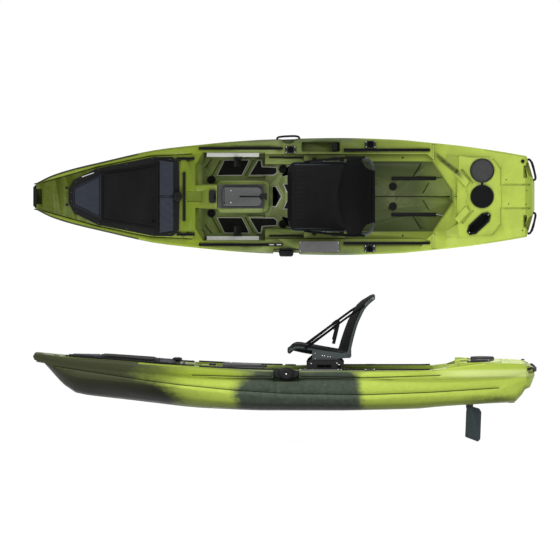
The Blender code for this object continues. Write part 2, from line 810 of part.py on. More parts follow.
def hull_recesses():
    """Pairs of a cutter and, where the hull needs a wall around it, its grown copy."""
    pairs = []
    foot, mouth = footwell_outlines()
    for name, side in SIDES:
        pairs.append(add_well("footwell_" + name, flipped(foot, side), flipped(mouth, side), FOOTWELL_FLOOR))
    rear = SEAT_BAY_REAR
    front = SEAT_BAY_FRONT
    bay = mirrored([(CONSOLE_REAR, -0.085), (CONSOLE_REAR - 0.014, -0.112), (front, -CONSOLE_HALF + 0.004),
                    (front, -SEAT_BAY_HALF), (rear, -SEAT_BAY_HALF)])
    bay_mouth = mirrored([(CONSOLE_REAR - 0.020, -0.060), (CONSOLE_REAR - 0.030, -0.090),
                          (front, -CONSOLE_TOP_HALF + 0.002), (front, -SEAT_BAY_HALF), (rear, -SEAT_BAY_HALF)])
    pairs.append(add_well("seat_bay", bay, bay_mouth, SEAT_BAY_FLOOR))
    ledge = mirrored([(front, -LEDGE_HALF), (LEDGE_REAR, -LEDGE_HALF),
                      (TANKWELL_SHOULDER - 0.010, -TANKWELL_HALF - 0.008)])
    pairs.append(add_well("seat_ledge", ledge, ledge, LEDGE_HEIGHT))
    apex = TANKWELL_APEX_HALF
    side = TANKWELL_HALF - TANKWELL_DRAFT
    tank_foot = mirrored([(TANKWELL_FRONT, -side), (TANKWELL_SHOULDER - 0.020, -side),
                          (TANKWELL_REAR - 0.020, -apex)])
    tank_mouth = mirrored([(TANKWELL_FRONT, -TANKWELL_HALF), (TANKWELL_SHOULDER, -TANKWELL_HALF),
                           (TANKWELL_REAR, -apex)])
    pairs.append(add_well("tankwell", tank_foot, tank_mouth, TANKWELL_FLOOR))
    plug_seat = [(PLUG_FRONT - 0.008, -0.14), (PLUG_REAR + 0.006, -0.14), (PLUG_REAR + 0.006, 0.14),
                 (PLUG_FRONT - 0.008, 0.14)]
    pairs.append(add_well("plug_seat", plug_seat, plug_seat, PLUG_SEAT_HEIGHT))
    trunk_low = (TRUNK_FRONT, -TRUNK_HALF, -0.4)
    trunk_high = (TRUNK_REAR, TRUNK_HALF, TOP - 0.1)
    pairs.append(add_block("drive_trunk", trunk_low, trunk_high))
    tray = rounded(oblong(TRAY_X, TRAY_Y), 0.012, 2)
    pairs.append(add_well("side_tray", grown(tray, -0.004), tray, SHEER_HEIGHTS[6][1] - TRAY_DEPTH))
    recess = [(SIDE_HANDLE_X + SIDE_RECESS_LENGTH * math.cos(k * math.pi / 10),
               half_beam(SIDE_HANDLE_X) + 0.008 + 0.045 * math.sin(k * math.pi / 10)) for k in range(20)]
    pairs.append(add_well("side_finger_recess", recess, recess, deck_height(SIDE_HANDLE_X) - SIDE_RECESS_DEPTH))
    pocket = STEERING_POCKET_HALF
    pairs.append(add_block("steering_pocket", (STEERING_X - pocket, -0.7, STEERING_POCKET_FLOOR),
                           (STEERING_X + pocket, STEERING_BACK_Y, TOP - 0.05)))
    tunnel = mirrored([(RUDDER_X - TUNNEL_FORE, -TUNNEL_HALF_FORE), (RUDDER_X + TUNNEL_AFT, -TUNNEL_HALF_AFT)])
    tunnel_cut = prism_mesh("rudder_tunnel", tunnel, -0.4, TUNNEL_CEILING)
    tunnel_wall = prism_mesh("rudder_tunnel_wall", grown(tunnel, HULL_WALL), -0.4, TUNNEL_CEILING + HULL_WALL)
    pairs.append((make_cutter(put(tunnel_cut, "rudder_tunnel", CUTTERS)),
                  make_cutter(put(tunnel_wall, "rudder_tunnel_wall", CUTTERS))))
    for name, x, y, floor in scupper_places():
        pairs.append(add_bore("scupper_" + name + "_bore", x, y, -0.3, floor + 0.02, SCUPPER_RADIUS, sides=16))
    return pairs


def hull_openings():
    """Cutters for the holes that lead into the hollow hull, and for edges and sockets."""
    front = BOW_X + COVER_FRONT
    opening = mirrored([(front + 0.040, -0.070), (BOW_X + HATCH_CROSSBAR, -0.176), (BOW_X + 0.905, -0.250),
                        (BOW_X + 0.925, -0.276), (BOW_X + 1.028, -0.276), (BOW_X + 1.040, -0.235)])
    cuts = [put(prism_mesh("bow_hatch_opening", opening, 0.300, TOP), "bow_hatch_opening", CUTTERS)]
    cuts.append(add_bore("round_hatch_bore", HATCH_X, ROUND_HATCH_Y, 0.27, TOP, HATCH_BORE, False, 32)[0])
    cuts.append(add_bore("centre_hatch_bore", HATCH_X, 0.0, 0.27, TOP, HATCH_BORE, False, 32)[0])
    for name, x, y in ACCESSORY_BASES:
        radius = BASE_CUP_RADIUS + 2 * SLIDE_GAP
        cuts.append(add_bore("base_bore_" + name, x, y, deck_height(x) - 0.06, TOP, radius, False)[0])
    pocket = grown(pocket_outline(), -0.010)
    cuts.append(put(prism_mesh("rod_pocket_opening", pocket, 0.28, TOP), "rod_pocket_opening", CUTTERS))
    cuts.append(add_bore("stock_bore", RUDDER_X, 0.0, TUNNEL_CEILING - 0.02, TUNNEL_CEILING + 0.03,
                         RUDDER_STOCK_RADIUS + 0.0015, False)[0])
    start = (STEERING_X, STEERING_BACK_Y - 0.02, STEERING_HEIGHT)
    end = (STEERING_X, STEERING_BACK_Y + 0.02, STEERING_HEIGHT)
    cuts.append(cutter_rod("steering_boss_bore", start, end, 0.015))
    low = (hub_x(), 0, deck_height(hub_x()) - 0.03)
    cuts.append(cutter_rod("hub_pin_bore", low, (hub_x(), 0, TOP), HUB_PIN_RADIUS + 0.001))
    face = BOW_X - 0.005
    low = (BOW_X - 0.1, -NOTCH_HALF, NOTCH_FLOOR)
    cuts.append(add_block("bow_notch", low, (BOW_X + NOTCH_BACK, NOTCH_HALF, TOP), False)[0])
    reach = BOW_HANDLE_HALF + HANDLE_RADIUS + 0.0025
    cuts.append(add_block("bow_front", (BOW_X - 0.1, -reach, 0.2), (face, reach, TOP), False)[0])
    for name, side in SIDES:
        corner = [(STERN_X - STERN_CHAMFER_BACK, STERN_CHAMFER_OUTER), (STERN_X + 0.002, STERN_CHAMFER_INNER),
                  (STERN_X + 0.2, STERN_CHAMFER_INNER + 0.1), (STERN_X + 0.2, 0.6)]
        chamfer = flipped(corner, side)
        cuts.append(put(prism_mesh("stern_corner_" + name, chamfer, -0.2, TOP), "stern_corner_" + name, CUTTERS))
        centre = stern_face_point(0.5, 0.004, side)
        along = stern_along(side)
        out = stern_out(side)
        outline = []
        for k in range(16):
            angle = k * math.pi / 8
            outline.append((centre[0] + along[0] * 0.060 * math.cos(angle) + out[0] * 0.026 * math.sin(angle),
                            centre[1] + along[1] * 0.060 * math.cos(angle) + out[1] * 0.026 * math.sin(angle)))
        if side < 0:
            outline.reverse()
        cuts.append(put(prism_mesh("stern_finger_" + name, outline, 0.285, TOP), "stern_finger_" + name, CUTTERS))
        for label, start, end in handle_sockets_stern(side):
            cuts.append(cutter_rod("stern_socket_" + name + label, start, end, HANDLE_RADIUS + 0.0022, 16))
        start = (BOW_X - 0.03, side * BOW_HANDLE_HALF, BOW_HANDLE_HEIGHT)
        end = (BOW_X + 0.010, side * BOW_HANDLE_HALF, BOW_HANDLE_HEIGHT)
        cuts.append(cutter_rod("bow_socket_" + name, start, end, HANDLE_RADIUS + 0.0014, 16))
    for label, place in side_handle_feet():
        end = (place[0], place[1] - 0.010, place[2])
        start = (place[0], place[1] + 0.05, place[2])
        cuts.append(cutter_rod("side_socket_" + label, start, end, HANDLE_RADIUS + 0.0014, 16))
    return [make_cutter(cut) for cut in cuts]


def stern_along(side):
    across = side * (STERN_CHAMFER_INNER - STERN_CHAMFER_OUTER)
    return Vector((STERN_CHAMFER_BACK + 0.002, across, 0)).normalized()


def stern_out(side):
    along = stern_along(side)
    return Vector((abs(along.y), abs(along.x) * side, 0))


def stern_face_point(share, inset, side, z=0.0):
    """Point on the chamfered corner face of the stern, from its outer to its inner end."""
    x = STERN_X - STERN_CHAMFER_BACK + share * (STERN_CHAMFER_BACK + 0.002)
    y = side * (STERN_CHAMFER_OUTER + share * (STERN_CHAMFER_INNER - STERN_CHAMFER_OUTER))
    return Vector((x, y, z)) - stern_out(side) * inset


def handle_sockets_stern(side):
    sockets = []
    for label, share in (("_outer", 0.17), ("_inner", 0.86)):
        height = 0.318 if label == "_outer" else 0.300
        start = stern_face_point(share, -0.03, side, height)
        end = stern_face_point(share, 0.012, side, height)
        sockets.append((label, start, end))
    return sockets


def side_handle_feet():
    feet = []
    for label, offset in (("fore", -SIDE_HANDLE_HALF + 0.006), ("aft", SIDE_HANDLE_HALF - 0.006)):
        x = SIDE_HANDLE_X + offset
        feet.append((label, (x, half_beam(x) - 0.001, deck_height(x) - 0.024)))
    return feet


def hub_x():
    return BOW_X + COVER_REAR - 0.015


def platform_outline():
    front = TANKWELL_REAR + 0.020
    return mirrored([(front, -0.100), (front + 0.016, -0.312), (HATCH_X + 0.075, -0.302),
                     (HATCH_X + 0.146, -0.225), (HATCH_X + 0.146, -0.100)])


def pocket_outline():
    """Outline of the angled rod pocket flange in plan."""
    length = POCKET_LENGTH / 2
    width = POCKET_WIDTH / 2
    shape = [(-length, -0.016), (-length * 0.62, -width), (length * 0.62, -width), (length, -0.016),
             (length, 0.016), (length * 0.62, width), (-length * 0.62, width), (-length, 0.016)]
    turn = math.radians(POCKET_ANGLE)
    x = STERN_X - POCKET_BACK
    return [(x + a * math.cos(turn) - b * math.sin(turn), POCKET_Y + a * math.sin(turn) + b * math.cos(turn))
            for a, b in shape]


def make_hull():
    pairs = hull_recesses()
    cuts = hull_openings()
    hull = put(hull_outside(), "hull", PARTS)
    platform = prism_mesh("stern_platform", platform_outline(), 0.30, PLATFORM_HEIGHT, 0.0)
    platform = make_cutter(put(platform, "stern_platform", CUTTERS))
    inside = make_cutter(put(hull_inside(), "hull_inside", CUTTERS))
    for _, wall in pairs:
        combine(inside, wall, "DIFFERENCE")
    combine(hull, platform, "UNION")
    for cut, _ in pairs:
        combine(hull, cut, "DIFFERENCE")
    combine(hull, inside, "DIFFERENCE")
    for cut in cuts:
        combine(hull, cut, "DIFFERENCE")
    return finish_part(hull, GREEN, 0.45, smooth=False)


def cover_window(name):
    """Counter-clockwise outline of one window of the bow cover frame."""
    bar = FRAME_BAR / 2
    cross = BOW_X + HATCH_CROSSBAR
    rear = BOW_X + HATCH_REAR_BAR
    if name == "front":
        return mirrored([(BOW_X + COVER_FRONT + 0.044, -COVER_HALF_FRONT),
                         (cross - bar, -COVER_HALF_CROSSBAR + 0.005)])
    if name == "lid":
        return mirrored([(cross + bar, -COVER_HALF_CROSSBAR - 0.004), (rear - bar, -0.238)])
    return mirrored([(rear + bar, -COVER_HALF_REAR), (BOW_X + 1.020, -COVER_HALF_REAR), (BOW_X + 1.036, -0.235)])


def make_cover_frame():
    front = BOW_X + COVER_FRONT
    outer = mirrored([(front, -0.050), (front + 0.038, -0.125), (front + 0.218, -0.214), (BOW_X + 0.879, -0.300),
                      (BOW_X + 1.029, -0.302), (BOW_X + COVER_REAR - 0.004, -0.262), (BOW_X + COVER_REAR, -0.045),
                      (BOW_X + COVER_REAR + 0.008, -0.030)])
    outlines = [rounded(outer, 0.012, 2), cover_window("front"), cover_window("lid"), cover_window("rear")]
    outlines.append(ring_points((hub_x(), 0.0), 0.0085, 12))
    mesh = drape(flat_mesh("bow_cover_frame", outlines, FRAME_THICKNESS), SEAT_GAP)
    return finish_part(put(mesh, "bow_cover_frame", PARTS), BLACK, 0.6)


def cloth_mesh(name, columns, rows, surface, thickness):
    """Thin sheet over a grid, surface(u, v) giving its lower side as a point."""
    form = bmesh.new()
    grid = [[form.verts.new(surface(i / columns, j / rows)) for j in range(rows + 1)] for i in range(columns + 1)]
    top = [[form.verts.new(vert.co + thickness(i / columns, j / rows)) for j, vert in enumerate(line)]
           for i, line in enumerate(grid)]
    for i in range(columns):
        for j in range(rows):
            form.faces.new((grid[i][j], grid[i][j + 1], grid[i + 1][j + 1], grid[i + 1][j]))
            form.faces.new((top[i][j], top[i + 1][j], top[i + 1][j + 1], top[i][j + 1]))
    edge = [(i, 0) for i in range(columns)] + [(columns, j) for j in range(rows)]
    edge += [(i, rows) for i in range(columns, 0, -1)] + [(0, j) for j in range(rows, 0, -1)]
    for (i, j), (m, n) in zip(edge, edge[1:] + edge[:1]):
        form.faces.new((grid[i][j], grid[m][n], top[m][n], top[i][j]))
    return mesh_from_bmesh(name, form)


def frame_top(x):
    return deck_height(x) + SEAT_GAP + FRAME_THICKNESS


def make_cover_cloths():
    made = []
    cross = BOW_X + HATCH_CROSSBAR
    rear = BOW_X + HATCH_REAR_BAR
    wide = COVER_HALF_CROSSBAR + 0.004
    spans = (("cover_cloth_front", BOW_X + COVER_FRONT + 0.036, cross - 0.004, 0.074, wide, 8, 8),
             ("cover_cloth_rear", rear + 0.006, BOW_X + 1.044, 0.278, 0.262, 6, 14))
    for name, start, end, half_start, half_end, columns, rows in spans:
        def surface(u, v, start=start, end=end, first=half_start, last=half_end, finer=name.endswith("rear")):
            x = start + u * (end - start)
            half = first + u * (last - first)
            y = (2 * v - 1) * half
            inside = math.sin(math.pi * u) * math.sin(math.pi * v)
            fold = math.sin(6 * u + 5 * v)
            if finer:
                fold = math.sin(9 * v + 5 * u) + 0.6 * math.sin(17 * v - 4 * u)
            rise = inside * (0.0035 + 0.0022 * fold)
            return Vector((x, y, sheet_floor(x) + rise))

        mesh = cloth_mesh(name, columns, rows, surface, lambda u, v: Vector((0, 0, CLOTH_THICKNESS)))
        made.append(finish_part(put(mesh, name, PARTS), CLOTH, 0.9))
    return made


def sheet_floor(x):
    """Height just above the cover frame, allowing for the flat facets between grid lines."""
    return frame_top(x) + 0.0009


def make_bow_lid():
    front = BOW_X + HATCH_CROSSBAR + 0.001
    rear = BOW_X + HATCH_REAR_BAR - 0.002
    half_front = COVER_HALF_CROSSBAR + LID_LAP + 0.004
    half_rear = 0.238 + LID_LAP
    outline = mirrored([(front, -half_front), (rear, -half_rear)])
    mesh = prism_mesh("bow_lid", rounded(outline, 0.014, 2), 0.0, LID_THICKNESS * 0.6)
    inset = rounded(grown(outline, -0.018), 0.014, 2)
    panel = prism_mesh("panel", inset, LID_THICKNESS * 0.4, LID_THICKNESS)
    lid = put(mesh, "bow_lid", PARTS)
    raised = put(panel, "lid_panel", CUTTERS)
    ring = (rear - 0.035, -0.185)
    bore = put(rod_mesh("lid_ring", (*ring, 0.004), (*ring, 0.05), 0.012, 16), "lid_ring", CUTTERS)
    join_and_cut(lid, joined=[raised], removed=[bore])
    mesh = drape(lid.data, SEAT_GAP + FRAME_THICKNESS + SEAT_GAP)
    bpy.data.objects.remove(lid, do_unlink=True)
    origin = (front, 0.0, frame_top(front) + SEAT_GAP)
    return finish_part(put(mesh, "bow_lid", PARTS, origin), BLACK, 0.55)


def make_hub():
    x = hub_x()
    base = frame_top(x) + 0.0012
    profile = [(0.0, 0.030), (HUB_RADIUS * 0.55, 0.030), (HUB_RADIUS * 0.93, 0.026), (HUB_RADIUS, 0.020),
               (HUB_RADIUS, 0.012), (0.017, 0.010), (0.016, 0.0), (HUB_PIN_RADIUS, 0.0), (HUB_PIN_RADIUS, -0.024),
               (0.0, -0.024)]
    mesh = moved(turned_mesh("cover_hub", profile, 24), (x, 0.0, base))
    return finish_part(put(mesh, "cover_hub", PARTS, (x, 0.0, base)), BLACK, 0.5)


def track_ring(centre, floor, along_y=False, x=0.0):
    half = TRACK_WIDTH / 2
    slot = TRACK_SLOT / 2
    high = TRACK_HEIGHT
    low = TRACK_HEIGHT - 0.0065
    shape = [(-half, 0.0), (half, 0.0), (half, high), (slot, high), (slot, low), (-slot, low), (-slot, high),
             (-half, high)]
    if along_y:
        return [(x + a, centre, deck_height(x + a) + floor + b) for a, b in shape]
    return [(x, centre + a, deck_height(x) + floor + b) for a, b in shape]


def make_tracks():
    made = []
    for label, side in SIDES:
        for kind, span, y in (("front", FRONT_TRACK_X, FRONT_TRACK_Y), ("rear", REAR_TRACK_X, REAR_TRACK_Y),
                              ("bow", DECK_TRACK_X, DECK_TRACK_Y)):
            rings = [track_ring(side * y, SEAT_GAP, x=x) for x in stretch_stations(*span)]
            name = "gear_track_" + kind + "_" + label
            mesh = loft_mesh(name, rings)
            middle = sum(span) / 2
            made.append(finish_part(put(mesh, name, PARTS, (middle, side * y, deck_height(middle))), BLACK, 0.45))
    rings = [track_ring(y, SEAT_GAP + 0.0002, True, CROSS_TRACK_X) for y in (-CROSS_TRACK_HALF, CROSS_TRACK_HALF)]
    origin = (CROSS_TRACK_X, 0.0, deck_height(CROSS_TRACK_X))
    cross = put(loft_mesh("gear_track_cross", rings), "gear_track_cross", PARTS, origin)
    made.append(finish_part(cross, BLACK, 0.45))
    return made


def make_foot_rails():
    made = []
    low = FOOT_RAIL_HEIGHT
    high = low + 0.024
    for label, side in SIDES:
        inner = footwell_wall_y(high) - SEAT_GAP * 2 - FOOT_RAIL_DEPTH
        shape = [(footwell_wall_y(low) - SEAT_GAP * 2, low), (footwell_wall_y(high) - SEAT_GAP * 2, high),
                 (inner, high), (inner, low + 0.016), (inner + 0.010, low + 0.016), (inner + 0.010, low + 0.008),
                 (inner, low + 0.008), (inner, low)]
        rings = [[(x, side * y, z) for y, z in shape] for x in FOOT_RAIL_X]
        name = "foot_rail_" + label
        origin = (sum(FOOT_RAIL_X) / 2, side * inner, low)
        made.append(finish_part(put(loft_mesh(name, rings), name, PARTS, origin), WHITE, 0.35))
        made.append(make_foot_peg(label, side, inner, low))
    return made


PEDAL_SECTIONS = ((0.160, 0.016, 0.010), (0.200, 0.004, 0.013), (0.262, -0.014, 0.011), (0.284, -0.024, 0.007))


def make_foot_peg(label, side, inner, low):
    name = "foot_peg_" + label
    x = FOOT_PEG_X
    gap = SLIDE_GAP
    near = inner - gap
    body = put(box_mesh(name, (x - 0.032, min(side * near, side * (near - 0.018)), low - 0.004),
                        (x + 0.032, max(side * near, side * (near - 0.018)), low + 0.028)), name, PARTS)
    tongue_y = sorted((side * (inner + 0.010 - gap), side * (near - 0.004)))
    tongue = put(box_mesh("tongue", (x - 0.030, tongue_y[0], low + 0.008 + gap),
                          (x + 0.030, tongue_y[1], low + 0.016 - gap)), "tongue", CUTTERS)
    pedal_rings = []
    for z, lean, half in PEDAL_SECTIONS:
        y0 = side * (near - 0.010)
        y1 = side * (near - 0.075)
        front = x + lean - half
        back = x + lean + half
        pedal_rings.append([(front, y0, z), (back, y0, z), (back, y1, z), (front, y1, z)])
    pedal = put(loft_mesh("pedal", pedal_rings), "pedal", CUTTERS)
    join_and_cut(body, joined=[tongue, pedal])
    mesh = take_mesh(body)
    return finish_part(put(mesh, name, PARTS, (x, side * near, low)), BLACK, 0.5)


FRONT_PAD = [(-0.515, 0.152), (-0.325, 0.152), (-0.257, 0.281), (-0.457, 0.281)]
MIDDLE_PAD = [(-0.140, 0.152), (-0.077, 0.152), (-0.054, 0.205), (-0.057, 0.229), (-0.140, 0.229)]
CENTRE_PAD = [(-0.085, -0.078), (-0.045, -0.078), (-0.012, 0.0), (-0.045, 0.078), (-0.085, 0.078)]


def make_pad(name, outline, floor):
    mesh = prism_mesh(name, outline, floor + SEAT_GAP, floor + SEAT_GAP + PAD_THICKNESS)
    return finish_part(put(mesh, name, PARTS, (*outline[0], floor)), BLACK, 0.85)


def make_pads():
    made = []
    kinds = (("front", FRONT_PAD, FOOTWELL_FLOOR), ("middle", MIDDLE_PAD, SEAT_BAY_FLOOR))
    for label, side in SIDES:
        for kind, outline, floor in kinds:
            outline = flipped(rounded(outline, 0.006, 2), side)
            made.append(make_pad("foam_pad_" + kind + "_" + label, outline, floor))
    hollow = []
    for k in range(3, -4, -1):
        angle = k * math.pi / 8
        hollow.append((-0.100 + 0.062 * math.cos(angle), 0.074 * math.sin(angle)))
    made.append(make_pad("foam_pad_centre", CENTRE_PAD + hollow, SEAT_BAY_FLOOR))
    return made


def plug_body_mesh(low):
    """Raised body of the plug, whose after end is two rounded lobes."""
    front = PLUG_FRONT + 0.035
    lobe = PLUG_BODY_HALF / 2
    centre = PLUG_REAR - 0.055
    half = [(front, -PLUG_BODY_HALF + 0.014), (front + 0.014, -PLUG_BODY_HALF)]
    for k in range(9):
        angle = math.radians(-90 + 20 * k)
        half.append((centre + lobe * math.cos(angle), -lobe + lobe * math.sin(angle)))
    outline = mirrored(half)

    def top(x):
        return PLUG_TOP_FRONT + (x - front) / (centre - front) * (PLUG_TOP_REAR - PLUG_TOP_FRONT)

    edge = PLUG_BODY_EDGE
    rings = [[(x, y, low) for x, y in outline], [(x, y, top(x) - edge) for x, y in outline],
             [(x, y, top(x)) for x, y in grown(outline, -edge * 0.7)]]
    return loft_mesh("raised", rings)


def make_drive_plug():
    gap = PLUG_GAP
    flange_low = PLUG_SEAT_HEIGHT + SEAT_GAP
    flange_high = flange_low + PLUG_FLANGE
    flange = rounded(oblong((PLUG_FRONT, PLUG_REAR), (-PLUG_HALF, PLUG_HALF)), 0.024, 3)
    plug = put(prism_mesh("drive_plug", flange, flange_low, flange_high), "drive_plug", PARTS)
    keel = max(keel_height(TRUNK_FRONT), keel_height(TRUNK_REAR)) + 0.002
    stem = cutter_box("stem", (TRUNK_FRONT + gap, -TRUNK_HALF + gap, keel),
                      (TRUNK_REAR - gap, TRUNK_HALF - gap, flange_low + 0.004))
    raised = put(plug_body_mesh(flange_high - 0.004), "raised", CUTTERS)
    groove = cutter_box("groove", (PLUG_REAR - 0.190, -0.006, PLUG_TOP_REAR - 0.012),
                        (PLUG_REAR + 0.01, 0.006, 0.40))
    back = PLUG_REAR - 0.014
    notch = cutter_rod("notch", (back, 0, flange_high + 0.0001), (back, 0, 0.42), 0.026)
    grip = cutter_box("grip", (PLUG_FRONT + 0.034, -0.058, PLUG_TOP_FRONT - 0.018),
                      (PLUG_FRONT + 0.052, 0.058, 0.42))
    wall = PLUG_WALL + gap
    cavity = cutter_box("cavity", (TRUNK_FRONT + wall, -TRUNK_HALF + wall, keel + PLUG_WALL),
                        (TRUNK_REAR - wall, TRUNK_HALF - wall, flange_low - PLUG_WALL))
    middle = (TRUNK_FRONT + TRUNK_REAR) / 2
    drain = cutter_rod("drain", (middle, 0, keel - 0.02), (middle, 0, keel + 0.02), PLUG_DRAIN_RADIUS, 12)
    join_and_cut(plug, joined=[stem, raised], removed=[groove, notch, grip, cavity, drain])
    return finish_part(put(take_mesh(plug), "drive_plug", PARTS, (middle, 0, flange_low)), GREY, 0.55)


def make_plug_fittings():
    top = PLUG_SEAT_HEIGHT + SEAT_GAP
    deck = deck_height(-0.54) + SEAT_GAP
    outline = rounded([(-0.572, -0.048), (-0.518, -0.048), (-0.518, 0.048), (-0.572, 0.048)], 0.012, 3)
    mesh = drape(prism_mesh("drive_lock_bracket", outline, 0.0, 0.012), SEAT_GAP)
    bracket = put(mesh, "drive_lock_bracket", PARTS)
    slot = cutter_box("slot", (-0.535, -0.014, deck + 0.004), (-0.50, 0.014, deck + 0.05))
    join_and_cut(bracket, removed=[slot])
    mesh = take_mesh(bracket)
    made = [finish_part(put(mesh, "drive_lock_bracket", PARTS, (-0.545, 0, deck)), BLACK, 0.5)]
    made.append(make_plug_latch(top + PLUG_FLANGE))
    return made


def make_plug_latch(flange_top):
    """Catch hinged on the plug flange, whose foot drops behind it onto the console."""
    front = PLUG_REAR - 0.012
    rear = PLUG_REAR + 0.018
    low = flange_top + SEAT_GAP
    high = low + 0.009
    mesh = box_mesh("plug_latch", (front, -LATCH_HALF, low), (rear, LATCH_HALF, high))
    latch = put(mesh, "plug_latch", PARTS)
    foot_low = latch_ground() + SEAT_GAP
    foot = cutter_box("foot", (PLUG_REAR + 0.004, -0.026, foot_low), (rear, 0.026, high - 0.003))
    nose = cutter_rod("nose", (front, 0, low), (front, 0, high), LATCH_HALF, 20)
    join_and_cut(latch, joined=[foot, nose])
    mesh = take_mesh(latch)
    return finish_part(put(mesh, "plug_latch", PARTS, (front - LATCH_HALF, 0, low)), BLACK, 0.5)


def latch_ground():
    return deck_height(PLUG_REAR + 0.012)


def make_scupper_plugs():
    made = []
    for label, x, y, floor in scupper_places()[:4]:
        name = "scupper_plug_" + label
        head = SCUPPER_HEAD_HEIGHT
        profile = [(0.0, head), (0.012, head), (0.014, head * 0.7), (SCUPPER_HEAD_RADIUS - 0.005, head * 0.7),
                   (SCUPPER_HEAD_RADIUS, head * 0.45), (SCUPPER_HEAD_RADIUS, 0.0), (SCUPPER_RADIUS - 0.0012, 0.0),
                   (SCUPPER_RADIUS - 0.003, -SCUPPER_STEM), (0.0, -SCUPPER_STEM)]
        origin = (x, y, floor + SEAT_GAP)
        mesh = moved(turned_mesh(name, profile, 18), origin)
        made.append(finish_part(put(mesh, name, PARTS, origin), BLACK, 0.6))
    return made


def make_accessory_bases():
    made = []
    for label, x, y in ACCESSORY_BASES:
        name = "accessory_base_" + label
        along = (x - BASE_LENGTH / 2, x + BASE_LENGTH / 2)
        across = (y - BASE_WIDTH / 2, y + BASE_WIDTH / 2)
        outline = rounded(oblong(along, across), 0.008, 2)
        flange = put(drape(prism_mesh(name, outline, 0.0, BASE_THICKNESS), SEAT_GAP), name, PARTS)
        top = deck_height(x) + SEAT_GAP + BASE_THICKNESS
        cup = cutter_rod("cup", (x, y, top - 0.002), (x, y, top - BASE_CUP_DEPTH), BASE_CUP_RADIUS, 24)
        bore = cutter_rod("bore", (x, y, top + 0.02), (x, y, top - BASE_CUP_DEPTH + 0.004), BASE_BORE, 24)
        join_and_cut(flange, joined=[cup], removed=[bore])
        mesh = take_mesh(flange)
        made.append(finish_part(put(mesh, name, PARTS, (x, y, top)), BLACK, 0.5))
    return made


def make_handles():
    made = []
    half = BOW_HANDLE_HALF
    height = BOW_HANDLE_HEIGHT
    points = [(BOW_X + 0.004, -half, height), (BOW_X - 0.008, -half, height),
              (BOW_X - 0.017, -half + 0.014, height + 0.001), (BOW_X - 0.020, -half + 0.045, height + 0.002)]
    path = points + [(x, -y, z) for x, y, z in reversed(points)]
    mesh = tube_mesh("bow_handle", smooth_path(path, 3), HANDLE_RADIUS)
    made.append(finish_part(put(mesh, "bow_handle", PARTS, (BOW_X - 0.020, 0, height)), BLACK, 0.6))
    feet = [Vector(place) for _, place in side_handle_feet()]
    inside = Vector((0, -HANDLE_INSERT, 0))
    neck = Vector((0, 0.010, 0.001))
    path = [feet[0] + inside, feet[0] + neck, feet[0] + Vector((0.030, 0.020, 0.003)),
            feet[1] + Vector((-0.030, 0.020, 0.003)), feet[1] + neck, feet[1] + inside]
    mesh = tube_mesh("side_handle_starboard", smooth_path([tuple(p) for p in path], 3), HANDLE_RADIUS - 0.001)
    handle = put(mesh, "side_handle_starboard", PARTS, tuple((feet[0] + feet[1]) / 2))
    made.append(finish_part(handle, BLACK, 0.6))
    for label, side in SIDES:
        out = stern_out(side)
        along = stern_along(side)
        first = stern_face_point(0.17, 0, side, 0.318)
        last = stern_face_point(0.86, 0, side, 0.300)
        rise = Vector((0, 0, 0.010))
        neck = out * 0.012 + rise * 0.3
        bend = out * 0.022 + rise
        path = [first - out * HANDLE_INSERT, first + neck, first + along * 0.030 + bend,
                last - along * 0.030 + bend, last + neck, last - out * HANDLE_INSERT]
        name = "stern_handle_" + label
        mesh = tube_mesh(name, smooth_path([tuple(p) for p in path], 3), HANDLE_RADIUS)
        made.append(finish_part(put(mesh, name, PARTS, tuple((first + last) / 2)), BLACK, 0.6))
    return made


def make_side_plate():
    (x0, x1), (y0, y1) = SIDE_PLATE_X, SIDE_PLATE_Y
    outline = rounded([(x0, -y1), (x1, -y1), (x1, -y0), (x0, -y0)], 0.006, 2)
    mesh = drape(prism_mesh("side_plate_port", outline, 0.0, SIDE_PLATE_THICKNESS), SEAT_GAP)
    return finish_part(put(mesh, "side_plate_port", PARTS, (x0, -y0, deck_height(x0))), GREY, 0.6)


def make_stern_hatches():
    made = []
    top = PLATFORM_HEIGHT + SEAT_GAP
    outer = ROUND_HATCH_RADIUS
    neck = HATCH_BORE - SLIDE_GAP
    bore = HATCH_BORE - HATCH_RING_WALL
    ring = [(outer, 0.002), (outer, 0.0), (neck, 0.0), (neck, -0.018), (bore, -0.018), (bore, HATCH_RING_HEIGHT),
            (outer - 0.002, HATCH_RING_HEIGHT), (outer, 0.002)]
    origin = (HATCH_X, ROUND_HATCH_Y, top)
    mesh = moved(turned_mesh("hatch_ring", ring, HATCH_STEPS), origin)
    made.append(finish_part(put(mesh, "round_hatch_ring", PARTS, origin), BLACK, 0.5))
    on_ring = top + HATCH_RING_HEIGHT + SEAT_GAP
    high = LID_RIM_HEIGHT
    lids = (("round_hatch_lid", ROUND_HATCH_Y, on_ring, outer - 0.004, bore - SLIDE_GAP),
            ("centre_hatch_lid", 0.0, top, CENTRE_LID_RADIUS, neck))
    for name, y, base, radius, grip in lids:
        profile = [(0.0, high - 0.003), (radius - 0.016, high - 0.003), (radius - 0.014, high),
                   (radius - 0.003, high), (radius, high - 0.004), (radius, 0.0), (grip, 0.0), (grip, -0.014),
                   (grip - 0.004, -0.014), (grip - 0.004, high - 0.006), (0.0, high - 0.006)]
        mesh = moved(turned_mesh(name, profile, HATCH_STEPS), (HATCH_X, y, base))
        made.append(finish_part(put(mesh, name, PARTS, (HATCH_X, y, base)), BLACK, 0.5))
    return made


